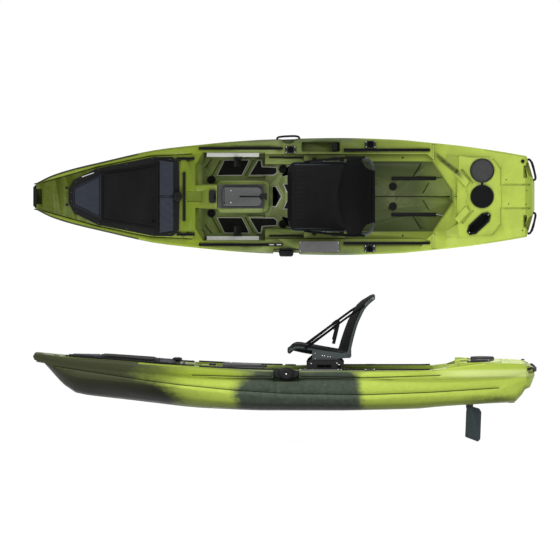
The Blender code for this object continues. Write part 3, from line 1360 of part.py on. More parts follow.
def make_rod_pocket():
    flange = pocket_outline()
    top = PLATFORM_HEIGHT + SEAT_GAP
    pocket = put(prism_mesh("rod_pocket", flange, top, top + 0.009), "rod_pocket", PARTS)
    cup = grown(flange, -0.0108)
    hollow = grown(flange, -0.0145)
    cup = put(prism_mesh("cup", cup, top - POCKET_DEPTH, top + 0.002), "cup", CUTTERS)
    hollow = put(prism_mesh("hollow", hollow, top - POCKET_DEPTH + 0.004, top + 0.05), "hollow", CUTTERS)
    join_and_cut(pocket, joined=[cup], removed=[hollow])
    mesh = take_mesh(pocket)
    return finish_part(put(mesh, "rod_pocket", PARTS, (STERN_X - POCKET_BACK, POCKET_Y, top)), BLACK, 0.5)


def make_tank_strips():
    made = []
    for label, side in SIDES:
        name = "tankwell_strip_" + label
        y = side * STRIP_Y
        floor = TANKWELL_FLOOR + SEAT_GAP
        low = (STRIP_X[0], y - STRIP_WIDTH / 2, floor)
        high = (STRIP_X[1], y + STRIP_WIDTH / 2, floor + STRIP_THICKNESS)
        item = bevel(put(box_mesh(name, low, high), name, PARTS, (low[0], y, floor)), 0.002)
        made.append(finish_part(item, BLACK, 0.8))
    return made


def make_drain_plug():
    base = max(deck_height(DRAIN_X + DRAIN_RADIUS), deck_height(DRAIN_X - DRAIN_RADIUS))
    profile = [(0.0, 0.010), (0.004, 0.010), (DRAIN_RADIUS - 0.002, 0.006), (DRAIN_RADIUS, 0.003),
               (DRAIN_RADIUS, 0.0), (0.0, 0.0)]
    origin = (DRAIN_X, DRAIN_Y, base + SEAT_GAP)
    mesh = moved(turned_mesh("drain_plug", profile, 16), origin)
    return finish_part(put(mesh, "drain_plug", PARTS, origin), BLACK, 0.5)


def make_skid_pad():
    start = RUDDER_X + TUNNEL_AFT + HULL_WALL
    half = SKID_HALF
    edge = half - 0.008
    rings = []
    for x in stretch_stations(start, start + SKID_LENGTH):
        z = keel_height(x) - SEAT_GAP
        low = z - SKID_THICKNESS
        rings.append([(x, -half, z), (x, half, z), (x, edge, low), (x, -edge, low)])
    pad = put(loft_mesh("skid_pad", rings), "skid_pad", PARTS, (start, 0, keel_height(start)))
    return finish_part(pad, BLACK, 0.7)


def rudder_pivot():
    return RUDDER_X + RUDDER_PIVOT_AFT, RUDDER_PIVOT_HEIGHT


def make_rudder_head():
    pivot_x, pivot_z = rudder_pivot()
    half = RUDDER_THICKNESS / 2 + 2 * SEAT_GAP + RUDDER_CHEEK
    slot = RUDDER_THICKNESS / 2 + 2 * SEAT_GAP
    front = RUDDER_X - 0.023
    rear = RUDDER_X + 0.032
    top = TUNNEL_CEILING - 0.006
    head = put(box_mesh("rudder_head", (front, -half, 0.008), (rear, half, top)), "rudder_head", PARTS)
    bevel(head, 0.004, 1)
    stock = cutter_rod("stock", (RUDDER_X, 0, top - 0.006), (RUDDER_X, 0, stock_top()), RUDDER_STOCK_RADIUS)
    low_slot = cutter_box("low_slot", (front - 0.02, -slot, -0.1), (rear + 0.02, slot, 0.060))
    aft_slot = cutter_box("aft_slot", (pivot_x - 0.004, -slot, 0.02), (rear + 0.02, slot, 0.114))
    join_and_cut(head, joined=[stock], removed=[low_slot, aft_slot])
    reach = half + 0.003
    pin = cutter_rod("pin", (pivot_x, -reach, pivot_z), (pivot_x, reach, pivot_z), RUDDER_PIN_RADIUS, 16)
    join_and_cut(head, joined=[pin])
    mesh = take_mesh(head)
    return finish_part(put(mesh, "rudder_head", PARTS, (RUDDER_X, 0, top)), SLATE, 0.5)


def stock_top():
    return bearing_base() + BEARING_HEIGHT + 0.026


def bearing_base():
    return TUNNEL_CEILING + HULL_WALL + SEAT_GAP


def make_rudder_bearing():
    bore = RUDDER_STOCK_RADIUS + 0.0006
    height = BEARING_HEIGHT
    profile = [(bore, height), (BEARING_RADIUS, height), (BEARING_RADIUS, 0.006), (0.034, 0.005), (0.034, 0.0),
               (bore, 0.0), (bore, height)]
    origin = (RUDDER_X, 0, bearing_base())
    mesh = moved(turned_mesh("rudder_bearing", profile, 24), origin)
    return finish_part(put(mesh, "rudder_bearing", PARTS, origin), BLACK, 0.5)


def make_tiller():
    low = bearing_base() + BEARING_HEIGHT + SEAT_GAP
    mesh = rod_mesh("rudder_tiller", (RUDDER_X, 0, low), (RUDDER_X, 0, low + 0.020), 0.022)
    hub = put(mesh, "rudder_tiller", PARTS)
    half = TILLER_ARM_WIDTH / 2
    arm = cutter_box("arm", (RUDDER_X - half, -TILLER_ARM, low + 0.002), (RUDDER_X + half, -0.01, low + 0.012))
    bore = RUDDER_STOCK_RADIUS + 0.0004
    hole = cutter_rod("hole", (RUDDER_X, 0, low - 0.02), (RUDDER_X, 0, low + 0.05), bore)
    join_and_cut(hub, joined=[arm], removed=[hole])
    mesh = take_mesh(hub)
    return finish_part(put(mesh, "rudder_tiller", PARTS, (RUDDER_X, 0, low)), METAL, 0.4, 0.6)


def make_rudder_blade():
    x0, z0 = rudder_pivot()
    root = ring_points((0.0, 0.0), 0.0215, 12)[:7]
    outline = root + [(-0.0235, -0.020), (-0.0270, -0.045), (-0.0345, -0.2340), (-0.030, -0.2410),
                      (0.058, -0.2747), (0.070, -0.270), (0.0817, -0.2557), (0.0895, -0.050),
                      (0.074, -0.0235), (0.028, -0.010)]
    outline = [(x0 + x, z0 + z) for x, z in outline]
    half = RUDDER_THICKNESS / 2
    middle = grown(outline, 0.0)
    edge = grown(outline, -0.006)
    rings = [[(x, -half, z) for x, z in edge], [(x, -half * 0.45, z) for x, z in middle],
             [(x, half * 0.45, z) for x, z in middle], [(x, half, z) for x, z in edge]]
    blade = put(loft_mesh("rudder_blade", rings), "rudder_blade", PARTS)
    bore = cutter_rod("bore", (x0, -0.05, z0), (x0, 0.05, z0), RUDDER_PIN_RADIUS + 0.0005, 16)
    join_and_cut(blade, removed=[bore])
    mesh = take_mesh(blade)
    return finish_part(put(mesh, "rudder_blade", PARTS, (x0, 0, z0)), SLATE, 0.5)


def make_steering():
    """Oval plate in the side pocket, and the oval knob that turns on it."""
    made = []
    y = STEERING_BACK_Y - SEAT_GAP
    x0 = STEERING_X
    z0 = STEERING_HEIGHT
    outline = []
    for k in range(24):
        angle = k * math.pi / 12
        reach = STEERING_PLATE_HALF / max(abs(math.sin(angle)) ** 0.9, 0.5)
        outline.append((x0 + reach * math.cos(angle), z0 + min(STEERING_PLATE_HALF, reach) * math.sin(angle)))
    outer = y - STEERING_PLATE
    rings = [[(x, outer, z) for x, z in outline], [(x, y, z) for x, z in outline]]
    plate = put(loft_mesh("steering_plate", rings), "steering_plate", PARTS)
    boss = cutter_rod("boss", (x0, y - 0.004, z0), (x0, y + 0.0215, z0), 0.014)
    bore = cutter_rod("bore", (x0, outer - 0.01, z0), (x0, y + 0.012, z0), 0.0085)
    join_and_cut(plate, joined=[boss], removed=[bore])
    made.append(finish_part(put(take_mesh(plate), "steering_plate", PARTS, (x0, y, z0)), BLACK, 0.5))
    inner = outer - SEAT_GAP
    rings = []
    for depth, share in ((0.0, 0.84), (0.20, 1.0), (0.78, 0.94), (1.0, 0.76)):
        ring = []
        for k in range(32):
            angle = k * math.pi / 16
            length, width = STEERING_KNOB_HALF
            ring.append((x0 + length * share * math.cos(angle), inner - depth * STEERING_KNOB_DEPTH,
                         z0 + width * share * math.sin(angle)))
        rings.append(ring)
    knob = put(loft_mesh("steering_knob", rings), "steering_knob", PARTS)
    stub = cutter_rod("stub", (x0, inner - 0.006, z0), (x0, y + 0.010, z0), 0.0078)
    join_and_cut(knob, joined=[stub])
    made.append(finish_part(put(take_mesh(knob), "steering_knob", PARTS, (x0, inner, z0)), BLACK, 0.5))
    return made


def make_steering_cable():
    start_y = STEERING_BACK_Y - SEAT_GAP + 0.0215 + 0.0010
    arm_z = bearing_base() + BEARING_HEIGHT + SEAT_GAP + 0.007
    end_x = RUDDER_X - TILLER_ARM_WIDTH / 2 - 0.0005
    route = [(STEERING_X, start_y, STEERING_HEIGHT),
             (STEERING_X + 0.001, start_y + 0.007, STEERING_HEIGHT - 0.001),
             (0.032, -0.3600, 0.284), (0.080, -0.3580, 0.255), (0.160, -0.3565, 0.226), (0.320, -0.3550, 0.212),
             (0.500, -0.3530, 0.208), (0.700, -0.3500, 0.206), (0.900, -0.3460, 0.207), (1.080, -0.3420, 0.210),
             (1.180, -0.3300, 0.213), (1.260, -0.2750, 0.216), (1.310, -0.1850, 0.219),
             (1.340, -0.1120, arm_z - 0.001), (1.366, -0.0720, arm_z), (1.382, -0.0660, arm_z),
             (end_x, -0.0660, arm_z)]
    mesh = tube_mesh("steering_cable", smooth_path(route, 2), CABLE_RADIUS)
    return finish_part(put(mesh, "steering_cable", PARTS, route[0]), BLACK, 0.6)


def seat_tube_height(x):
    """Height of the seat side tubes at x."""
    return float(np.interp(x, *zip(*SEAT_TUBE_LINE)))


def make_seat_bases():
    made = []
    x0, x1 = SEAT_BASE_X
    low = LEDGE_HEIGHT + SEAT_GAP
    top = SEAT_BASE_TOP
    for label, side in SIDES:
        name = "seat_base_" + label
        outline = [(x0, low), (x0 + 0.068, low), (x0 + 0.074, low + 0.022), (x1 - 0.030, low + 0.022),
                   (x1 - 0.024, low), (x1, low), (x1, top - 0.046), (x1 - 0.020, top - 0.020), (x1 - 0.060, top),
                   (x0 + 0.046, top), (x0 + 0.010, top - 0.030), (x0, top - 0.050)]
        window = rounded(oblong((x0 + 0.079, x0 + 0.190), SEAT_BASE_WINDOW), 0.008, 2)
        hole = ring_points((x1 - 0.038, 0.340), 0.0165)
        mesh = flat_mesh(name, [outline, window, hole], SEAT_BASE_Y[1] - SEAT_BASE_Y[0])
        mesh.transform(Matrix.Rotation(math.radians(90), 4, "X"))
        shift = SEAT_BASE_Y[1] if side > 0 else -SEAT_BASE_Y[0]
        mesh.transform(Matrix.Translation((0, shift, 0)))
        made.append(finish_part(put(mesh, name, PARTS, (x0, side * SEAT_BASE_Y[0], low)), BLACK, 0.5))
    return made


def seat_side_plate(side):
    outline = [(0.212, 0.390), (0.400, 0.390), (0.432, 0.402), (0.500, 0.404), (0.510, 0.416), (0.510, 0.440),
               (0.500, 0.450), (0.440, 0.442), (0.212, 0.472)]
    inner = SEAT_PLATE_Y
    outer = inner + SEAT_PLATE_STOCK
    hole = ring_points(BACK_PIVOT, 0.0066)
    mesh = flat_mesh("seat_plate", [outline, hole], outer - inner)
    mesh.transform(Matrix.Rotation(math.radians(90), 4, "X"))
    mesh.transform(Matrix.Translation((0, outer if side > 0 else -inner, 0)))
    return put(mesh, "seat_plate", CUTTERS)


def make_seat_frame():
    wide = SEAT_HALF
    half = [(0.040, 0.060, 0.447), (0.040, 0.150, 0.447), (0.048, wide - 0.025, 0.455), (0.075, wide, 0.476),
            (0.120, wide, 0.484), (0.300, wide, 0.452), (0.440, wide, 0.428), (0.470, wide - 0.010, 0.423),
            (0.485, wide - 0.035, 0.419), (0.488, 0.160, 0.418), (0.488, 0.060, 0.418)]
    path = half + [(x, -y, z) for x, y, z in reversed(half)]
    mesh = tube_mesh("seat_frame", smooth_path(path, 2, True), SEAT_TUBE_RADIUS, True)
    frame = put(mesh, "seat_frame", PARTS)
    join_and_cut(frame, joined=[seat_side_plate(side) for _, side in SIDES])
    mesh = take_mesh(frame)
    return finish_part(put(mesh, "seat_frame", PARTS, (SEAT_BASE_X[0], 0, SEAT_BASE_TOP)), METAL, 0.4, 0.5)


def back_route():
    """Centre line of the back hoop, from the port foot over the top to the starboard foot."""
    posts = [(x, BACK_HALF + 0.004, z) for z, x in BACK_POSTS]
    corner = [(0.655, BACK_HALF - 0.012, 0.838), (0.672, BACK_HALF - 0.050, 0.850), (0.676, 0.150, 0.853),
              (0.677, 0.050, 0.854)]
    half = posts + corner
    return smooth_path(half + [(x, -y, z) for x, y, z in reversed(half)], 2)


def make_back_frame():
    frame = put(tube_mesh("back_frame", back_route(), SEAT_TUBE_RADIUS), "back_frame", PARTS)
    pins = []
    for _, side in SIDES:
        start = (BACK_PIVOT[0], side * (BACK_HALF + 0.004), BACK_PIVOT[1])
        end = (BACK_PIVOT[0], side * (SEAT_HALF + SEAT_TUBE_RADIUS + 0.0002), BACK_PIVOT[1])
        pins.append(put(rod_mesh("pin", start, end, 0.006, 16), "pin", CUTTERS))
    join_and_cut(frame, joined=pins)
    mesh = take_mesh(frame)
    return finish_part(put(mesh, "back_frame", PARTS, (BACK_PIVOT[0], 0, BACK_PIVOT[1])), METAL, 0.4, 0.5)


def make_seat_cloths():
    made = []
    inside = SEAT_HALF - SEAT_TUBE_RADIUS - 0.0004

    def seat_surface(u, v):
        x = 0.0605 + u * (0.466 - 0.0605)
        reach = inside
        if u < 0.18:
            reach = inside - 0.022 * (1 - u / 0.18) ** 1.5
        if u > 0.86:
            reach = inside - 0.020 * ((u - 0.86) / 0.14) ** 1.5
        y = (2 * v - 1) * reach
        sag = 0.016 * math.sin(math.pi * u) ** 0.6 * (1 - (2 * v - 1) ** 2)
        return Vector((x, y, seat_tube_height(x) - MESH_THICKNESS / 2 - sag))

    mesh = cloth_mesh("seat_mesh", 11, 9, seat_surface, lambda u, v: Vector((0, 0, MESH_THICKNESS)))
    made.append(finish_part(put(mesh, "seat_mesh", PARTS, (0.25, 0, 0.45)), CLOTH, 0.9))
    made.append(make_back_mesh())
    return made


def make_back_mesh():
    """Fabric stretched between the back posts, drawn forward in the middle."""
    route = [Vector(point) for point in back_route()]
    edge = [point for point in route[:len(route) // 2]
            if point.z > BACK_MESH_FOOT and point.y > BACK_MESH_TOP_HALF]
    fronts = []
    for i, point in enumerate(edge):
        along = edge[min(i + 1, len(edge) - 1)] - edge[max(i - 1, 0)]
        fronts.append(Vector((-along.z, 0, along.x)).normalized())
    last = len(edge) - 1

    def surface(u, v):
        i = round(u * last)
        across = 2 * v - 1
        bulge = (BACK_BULGE_LOW + (BACK_BULGE_HIGH - BACK_BULGE_LOW) * u) * (1 - across ** 2)
        post = Vector((edge[i].x, across * (edge[i].y + BACK_LAP), edge[i].z))
        return post + fronts[i] * (SEAT_TUBE_RADIUS + SEAT_GAP) - Vector((bulge, 0, 0))

    def thickness(u, v):
        return fronts[round(u * last)] * BACK_MESH_THICKNESS

    mesh = cloth_mesh("back_mesh", last, 10, surface, thickness)
    return finish_part(put(mesh, "back_mesh", PARTS, (BACK_PIVOT[0], 0, BACK_PIVOT[1])), CLOTH, 0.9)


def make_back_straps():
    made = []
    for label, side in SIDES:
        name = "back_strap_" + label
        route = [(0.160, SEAT_HALF + 0.0132, 0.476), (0.180, SEAT_HALF + 0.0145, 0.492),
                 (0.330, SEAT_HALF + 0.030, 0.604), (0.4965, STRAP_Y, 0.728), (0.560, STRAP_Y, 0.768),
                 (0.602, STRAP_Y, 0.794)]
        rings = []
        for i, (x, y, z) in enumerate(route):
            before = route[max(i - 1, 0)]
            after = route[min(i + 1, len(route) - 1)]
            along = Vector((after[0] - before[0], 0, after[2] - before[2])).normalized()
            across = Vector((-along.z, 0, along.x)) * (STRAP_WIDTH / 2)
            here = Vector((x, side * y, z))
            out = Vector((0, side * STRAP_THICKNESS, 0))
            corners = (here - across, here + across, here + across + out, here - across + out)
            rings.append([tuple(corner) for corner in corners])
        strap = put(loft_mesh(name, rings), name, PARTS, (0.170, side * (SEAT_HALF + 0.014), 0.484))
        made.append(finish_part(strap, BLACK, 0.8))
    return made


def build():
    clear_scene()
    make_group(PARTS)
    make_group(CUTTERS)
    make_cover_frame()
    make_cover_cloths()
    make_bow_lid()
    make_hub()
    make_tracks()
    make_foot_rails()
    make_pads()
    make_drive_plug()
    make_plug_fittings()
    make_scupper_plugs()
    make_accessory_bases()
    make_handles()
    make_side_plate()
    make_stern_hatches()
    make_rod_pocket()
    make_tank_strips()
    make_drain_plug()
    make_skid_pad()
    make_rudder_head()
    make_rudder_bearing()
    make_tiller()
    make_rudder_blade()
    make_steering()
    make_steering_cable()
    make_seat_bases()
    make_seat_frame()
    make_back_frame()
    make_seat_cloths()
    make_back_straps()
    make_hull()


if __name__ == "__main__":
    build()
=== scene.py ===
"""Finishes, soft goods, small fittings and studio of the fishing kayak.

Metres, +Z up. The bow points along -X and port is -Y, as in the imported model.
"""
import math

import bmesh
import bpy
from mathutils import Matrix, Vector, noise
from mathutils.bvhtree import BVHTree


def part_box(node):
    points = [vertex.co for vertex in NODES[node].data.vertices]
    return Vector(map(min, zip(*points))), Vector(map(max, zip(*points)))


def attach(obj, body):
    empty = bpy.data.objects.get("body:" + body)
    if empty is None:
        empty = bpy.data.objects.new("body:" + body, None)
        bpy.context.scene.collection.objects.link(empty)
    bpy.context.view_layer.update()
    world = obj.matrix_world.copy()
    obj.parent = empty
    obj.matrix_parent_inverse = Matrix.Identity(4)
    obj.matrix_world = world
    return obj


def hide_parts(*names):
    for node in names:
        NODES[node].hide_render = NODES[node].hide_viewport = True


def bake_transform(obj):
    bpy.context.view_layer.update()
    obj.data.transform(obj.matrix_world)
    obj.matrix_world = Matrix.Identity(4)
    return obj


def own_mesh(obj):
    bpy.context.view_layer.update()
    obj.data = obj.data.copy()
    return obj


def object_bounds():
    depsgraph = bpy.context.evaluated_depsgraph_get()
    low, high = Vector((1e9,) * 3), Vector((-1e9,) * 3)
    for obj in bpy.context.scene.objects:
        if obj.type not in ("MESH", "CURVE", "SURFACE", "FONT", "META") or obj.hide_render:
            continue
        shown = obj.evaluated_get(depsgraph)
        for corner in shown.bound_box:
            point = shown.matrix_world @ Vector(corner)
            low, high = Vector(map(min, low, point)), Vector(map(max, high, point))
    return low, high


bl_info = {
    "name": "Fishing kayak finish",
    "version": (1, 0, 0),
    "blender": (4, 5, 0),
    "location": "3D View > Sidebar > Kayak",
    "description": "Finishes, soft goods, small fittings and studio of a pedal fishing kayak",
    "category": "Object",
}

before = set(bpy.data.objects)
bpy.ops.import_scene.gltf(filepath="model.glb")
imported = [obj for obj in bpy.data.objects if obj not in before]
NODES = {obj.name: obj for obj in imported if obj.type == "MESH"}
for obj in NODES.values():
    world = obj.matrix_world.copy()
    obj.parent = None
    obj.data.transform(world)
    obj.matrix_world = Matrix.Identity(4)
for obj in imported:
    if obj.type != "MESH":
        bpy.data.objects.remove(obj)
CAD_BOX = [list(corner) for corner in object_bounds()]
SIDES = (("port", -1), ("starboard", 1))
FINISHES = {}
TREES = {}


# Shader tools

class Field:
    """Value, place or colour that varies over a surface: an output of a node in a shader tree."""

    def __init__(self, tree, socket):
        self.tree = tree
        self.socket = socket

    def combined(self, operation, other=0.0, clamp=False):
        return maths(self.tree, operation, self, other, clamp)

    def __add__(self, other):
        return self.combined("ADD", other)

    def __sub__(self, other):
        return self.combined("SUBTRACT", other)

    def __rsub__(self, other):
        return maths(self.tree, "SUBTRACT", other, self)

    def __mul__(self, other):
        return self.combined("MULTIPLY", other)

    def __truediv__(self, other):
        return self.combined("DIVIDE", other)

    def __pow__(self, power):
        return self.combined("POWER", power)

    def __abs__(self):
        return self.combined("ABSOLUTE")

    def ranged(self, low, high, to_low, to_high):
        """Value moved from the range low to high onto another range."""
        return field(self.tree, "ShaderNodeMapRange", {"Value": self, "From Min": low, "From Max": high,
                                                       "To Min": to_low, "To Max": to_high}, "Result")

    def step(self, low, high):
        """0 below low, 1 above high, smooth between."""
        return field(self.tree, "ShaderNodeMapRange", {"Value": self, "From Min": low, "From Max": high},
                     "Result", interpolation_type="SMOOTHSTEP")

    def spot(self, low, high, fade):
        """1 between low and high, fading to 0 outside them."""
        return self.step(low - fade, low + fade) * (1.0 - self.step(high - fade, high + fade))

    def noise(self, scale, detail, roughness=0.5):
        return field(self.tree, "ShaderNodeTexNoise", {"Vector": self, "Scale": scale, "Detail": detail,
                                                       "Roughness": roughness}, "Fac")

    def shaded(self, share):
        """Colour with its strength multiplied by a share."""
        return field(self.tree, "ShaderNodeVectorMath", {0: self, "Scale": share}, operation="SCALE")


def set_inputs(tree, sockets, values):
    """Sockets linked to fields or set to plain values."""
    for name, value in values.items():
        if isinstance(value, Field):
            tree.links.new(value.socket, sockets[name])
        else:
            sockets[name].default_value = value


def add_node(tree, kind, inputs=None, **settings):
    """Shader node with its settings and inputs."""
    made = tree.nodes.new(kind)
    for name, value in settings.items():
        setattr(made, name, value)
    set_inputs(tree, made.inputs, inputs or {})
    return made


def field(tree, kind, inputs=None, output=0, **settings):
    """One output of a new shader node."""
    return Field(tree, add_node(tree, kind, inputs, **settings).outputs[output])


def fields(tree, sockets):
    return {socket.name: Field(tree, socket) for socket in sockets}


def maths(tree, operation, first, second=0.0, clamp=False):
    return field(tree, "ShaderNodeMath", {0: first, 1: second}, operation=operation, use_clamp=clamp)


def blend(share, first, second):
    """Colour from the first at share 0 to the second at share 1."""
    colours = [value if isinstance(value, Field) else (*value[:3], 1.0) for value in (first, second)]
    return field(share.tree, "ShaderNodeMix", {0: share, 6: colours[0], 7: colours[1]}, 2, data_type="RGBA")


def object_place(tree):
    """Place in the kayak's own metres, whole and as x, y, z."""
    place = field(tree, "ShaderNodeTexCoord", output="Object")
    parts = add_node(tree, "ShaderNodeSeparateXYZ", {0: place})
    return place, *(Field(tree, socket) for socket in parts.outputs)


def start_group(name, inputs, outputs):
    """New shader group from its inputs' defaults and its outputs' labels."""
    tree = bpy.data.node_groups.new(name, "ShaderNodeTree")
    for label, default in inputs.items():
        kind = "NodeSocketFloat" if isinstance(default, float) else "NodeSocketColor"
        tree.interface.new_socket(label, in_out="INPUT", socket_type=kind).default_value = default
    for label in outputs:
        kind = "NodeSocketColor" if label == "Colour" else "NodeSocketFloat"
        tree.interface.new_socket(label, in_out="OUTPUT", socket_type=kind)
    given = fields(tree, tree.nodes.new("NodeGroupInput").outputs)
    return tree, given, tree.nodes.new("NodeGroupOutput").inputs


def moulded_grain_group():
    """Fine grain of moulded plastic with slow waves under it."""
    inputs = {"Grain per metre": 900.0, "Wave per metre": 9.0, "Wave share": 0.3}
    tree, given, out = start_group("Moulded grain", inputs, ("Height", "Patch"))
    place = object_place(tree)[0]
    grain = place.noise(given["Grain per metre"], 2.0)
    wave = place.noise(given["Wave per metre"], 3.0)
    set_inputs(tree, out, {"Height": grain + wave * given["Wave share"], "Patch": wave})
    return tree


def tone_drift_group():
    """Colour that grows a little lighter and darker in slow patches."""
    inputs = {"Colour": (0.5, 0.5, 0.5, 1.0), "Amount": 0.15, "Patches per metre": 12.0}
    tree, given, out = start_group("Tone drift", inputs, ("Colour",))
    patch = object_place(tree)[0].noise(given["Patches per metre"], 4.0, 0.6)
    level = (patch - 0.5) * given["Amount"] * 2.0 + 1.0
    set_inputs(tree, out, {"Colour": given["Colour"].shaded(level)})
    return tree


def edge_wear_and_highlight_group():
    """Share of sharp outer edges, broken by noise: worn plastic on the plastics, on the hull partly painted
    highlight.
    """
    tree, given, out = start_group("Edge wear", {"Reach": 0.53, "Breaks per metre": 60.0}, ("Worn",))
    bend = field(tree, "ShaderNodeNewGeometry", output="Pointiness")
    rough = object_place(tree)[0].noise(given["Breaks per metre"], 3.0)
    bend = bend + (rough - 0.5) * 0.05
    set_inputs(tree, out, {"Worn": (bend - given["Reach"]).combined("MULTIPLY", 14.0, clamp=True)})
    return tree


def weave_group():
    """Crossed threads as height, and the gaps between them."""
    inputs = {"Threads per metre": 500.0, "Lean": 0.6}
    tree, given, out = start_group("Woven threads", inputs, ("Height", "Gap"))
    _, x, y, z = object_place(tree)
    turns = given["Threads per metre"] * math.pi
    first = ((x * 0.8 + z * given["Lean"]) * turns).combined("SINE")
    second = (y * turns).combined("SINE")
    height = abs(first).combined("MAXIMUM", abs(second))
    set_inputs(tree, out, {"Height": height, "Gap": maths(tree, "SUBTRACT", 1.0, height, clamp=True)})
    return tree


def speckle_group():
    """Small pale chips spread over a plastic."""
    tree, given, out = start_group("Speckle", {"Chips per metre": 260.0, "Level": 0.62}, ("Chips",))
    chips = object_place(tree)[0].noise(given["Chips per metre"], 1.0)
    set_inputs(tree, out, {"Chips": (chips - given["Level"]).combined("MULTIPLY", 9.0, clamp=True)})
    return tree


GROUP_MAKERS = {"grain": moulded_grain_group, "drift": tone_drift_group, "wear": edge_wear_and_highlight_group,
                "weave": weave_group, "speckle": speckle_group}
GROUPS = {}


def use_group(tree, name, values):
    if name not in GROUPS:
        GROUPS[name] = GROUP_MAKERS[name]()
    made = tree.nodes.new("ShaderNodeGroup")
    made.node_tree = GROUPS[name]
    set_inputs(tree, made.inputs, values)
    return fields(tree, made.outputs)


def drifting(tree, colour, amount, patches):
    """Colour that drifts in tone, with so many patches a metre."""
    values = {"Colour": colour, "Amount": amount, "Patches per metre": patches}
    return use_group(tree, "drift", values)["Colour"]


def start_finish(name):
    """New material, and its Principled shader."""
    material = bpy.data.materials.new(name)
    material.use_nodes = True
    FINISHES[name] = material
    return material.node_tree, material.node_tree.nodes["Principled BSDF"]


def add_bump(tree, shader, height, distance, strength=1.0, edge=0.0):
    """Height as bump on the shader, over edges rounded by the given radius."""
    bump = add_node(tree, "ShaderNodeBump", {"Height": height, "Distance": distance, "Strength": strength})
    if edge:
        rounded = field(tree, "ShaderNodeBevel", {"Radius": edge}, samples=4)
        set_inputs(tree, bump.inputs, {"Normal": rounded})
    tree.links.new(bump.outputs[0], shader.inputs["Normal"])


def part_above(height):
    """Mask that is 1 above a height."""
    return lambda tree: object_place(tree)[3].step(height - 0.0008, height + 0.0008)


def part_beyond(centre, radius):
    """Mask that is 1 further than a radius from an upright axis."""
    def mask(tree):
        _, x, y, _ = object_place(tree)
        away = ((x - centre[0]) ** 2.0 + (y - centre[1]) ** 2.0).combined("SQRT")
        return away.step(radius - 0.0006, radius + 0.0006)
    return mask


def plastic_finish(name, colour, worn, low, high, grain=900.0, depth=0.0002, chips=0.0, gloss=0.08,
                   part=None, part_colour=None):
    """Moulded plastic or coated metal: drifting tone, worn edges, grain and soft corners."""
    tree, shader = start_finish(name)
    tone = drifting(tree, (*colour, 1.0), 0.22, 25.0)
    if part:
        tone = blend(part(tree), tone, part_colour)
    if chips:
        tone = blend(use_group(tree, "speckle", {"Level": 0.60})["Chips"] * chips, tone, (0.42, 0.42, 0.41))
    tone = blend(use_group(tree, "wear", {})["Worn"] * 0.6, tone, worn)
    surface = use_group(tree, "grain", {"Grain per metre": grain})
    set_inputs(tree, shader.inputs, {"Base Color": tone, "Specular IOR Level": gloss,
                                     "Roughness": surface["Patch"].ranged(0.0, 1.0, low, high)})
    add_bump(tree, shader, surface["Height"], depth, 0.6, 0.0012)


def fabric_finish(name, colour, thread, threads, depth, rough, sheen=0.01, channels=None):
    """Woven cloth with slow tone drift; channels is the spacing, start and end of its short sewn lines."""
    tree, shader = start_finish(name)
    weave = use_group(tree, "weave", {"Threads per metre": threads})
    tone = drifting(tree, (*colour, 1.0), 0.25, 18.0)
    tone = blend(weave["Gap"] * 0.7, tone, thread)
    height = weave["Height"]
    if channels:
        spacing, start, end = channels
        _, x, y, _ = object_place(tree)
        beat = abs((y * (math.pi / spacing)).combined("SINE"))
        line = (1.0 - beat.step(0.0, 0.16)) * x.step(start - 0.004, start + 0.004)
        line = line * (1.0 - x.step(end - 0.02, end + 0.02))
        tone = blend(line * 0.6, tone, tuple(3.0 * c for c in colour))
        height = height - line * 3.0
    set_inputs(tree, shader.inputs, {"Base Color": tone, "Roughness": rough, "Sheen Weight": sheen,
                                     "Sheen Roughness": 0.5, "Specular IOR Level": 0.05})
    add_bump(tree, shader, height, depth, 0.7)


def steel_finish():
    tree, shader = start_finish("stainless_steel")
    surface = use_group(tree, "grain", {"Grain per metre": 1400.0, "Wave per metre": 90.0})
    tone = drifting(tree, (0.62, 0.62, 0.60, 1.0), 0.12, 160.0)
    set_inputs(tree, shader.inputs, {"Base Color": tone, "Metallic": 1.0,
                                     "Roughness": surface["Patch"].ranged(0.0, 1.0, 0.2, 0.42)})
    add_bump(tree, shader, surface["Height"], 0.00005, 0.4)


def foam_finish():
    """Closed-cell foam with fine brushed ribs."""
    tree, shader = start_finish("deck_foam")
    x = object_place(tree)[1]
    tone = drifting(tree, (0.0160, 0.0160, 0.0165, 1.0), 0.3, 60.0)
    set_inputs(tree, shader.inputs, {"Base Color": tone, "Roughness": 0.92, "Specular IOR Level": 0.1})
    surface = use_group(tree, "grain", {"Grain per metre": 700.0})
    ribs = abs((x * (math.pi / 0.006)).combined("SINE"))
    add_bump(tree, shader, surface["Height"] + ribs * 0.8, 0.0005, 0.6)


# Colours of the hull

def ramp_along(along, stops):
    """Colour that follows (x, colour) stops along the boat."""
    reach = 1.9
    made = add_node(along.tree, "ShaderNodeValToRGB", {"Fac": along.ranged(-reach, reach, 0.0, 1.0)})
    ramp = made.color_ramp
    while len(ramp.elements) < len(stops):
        ramp.elements.new(0.5)
    for element, (where, colour) in zip(ramp.elements, stops):
        element.position = (where + reach) / (2 * reach)
        element.color = (*colour, 1.0)
    return Field(along.tree, made.outputs["Color"])


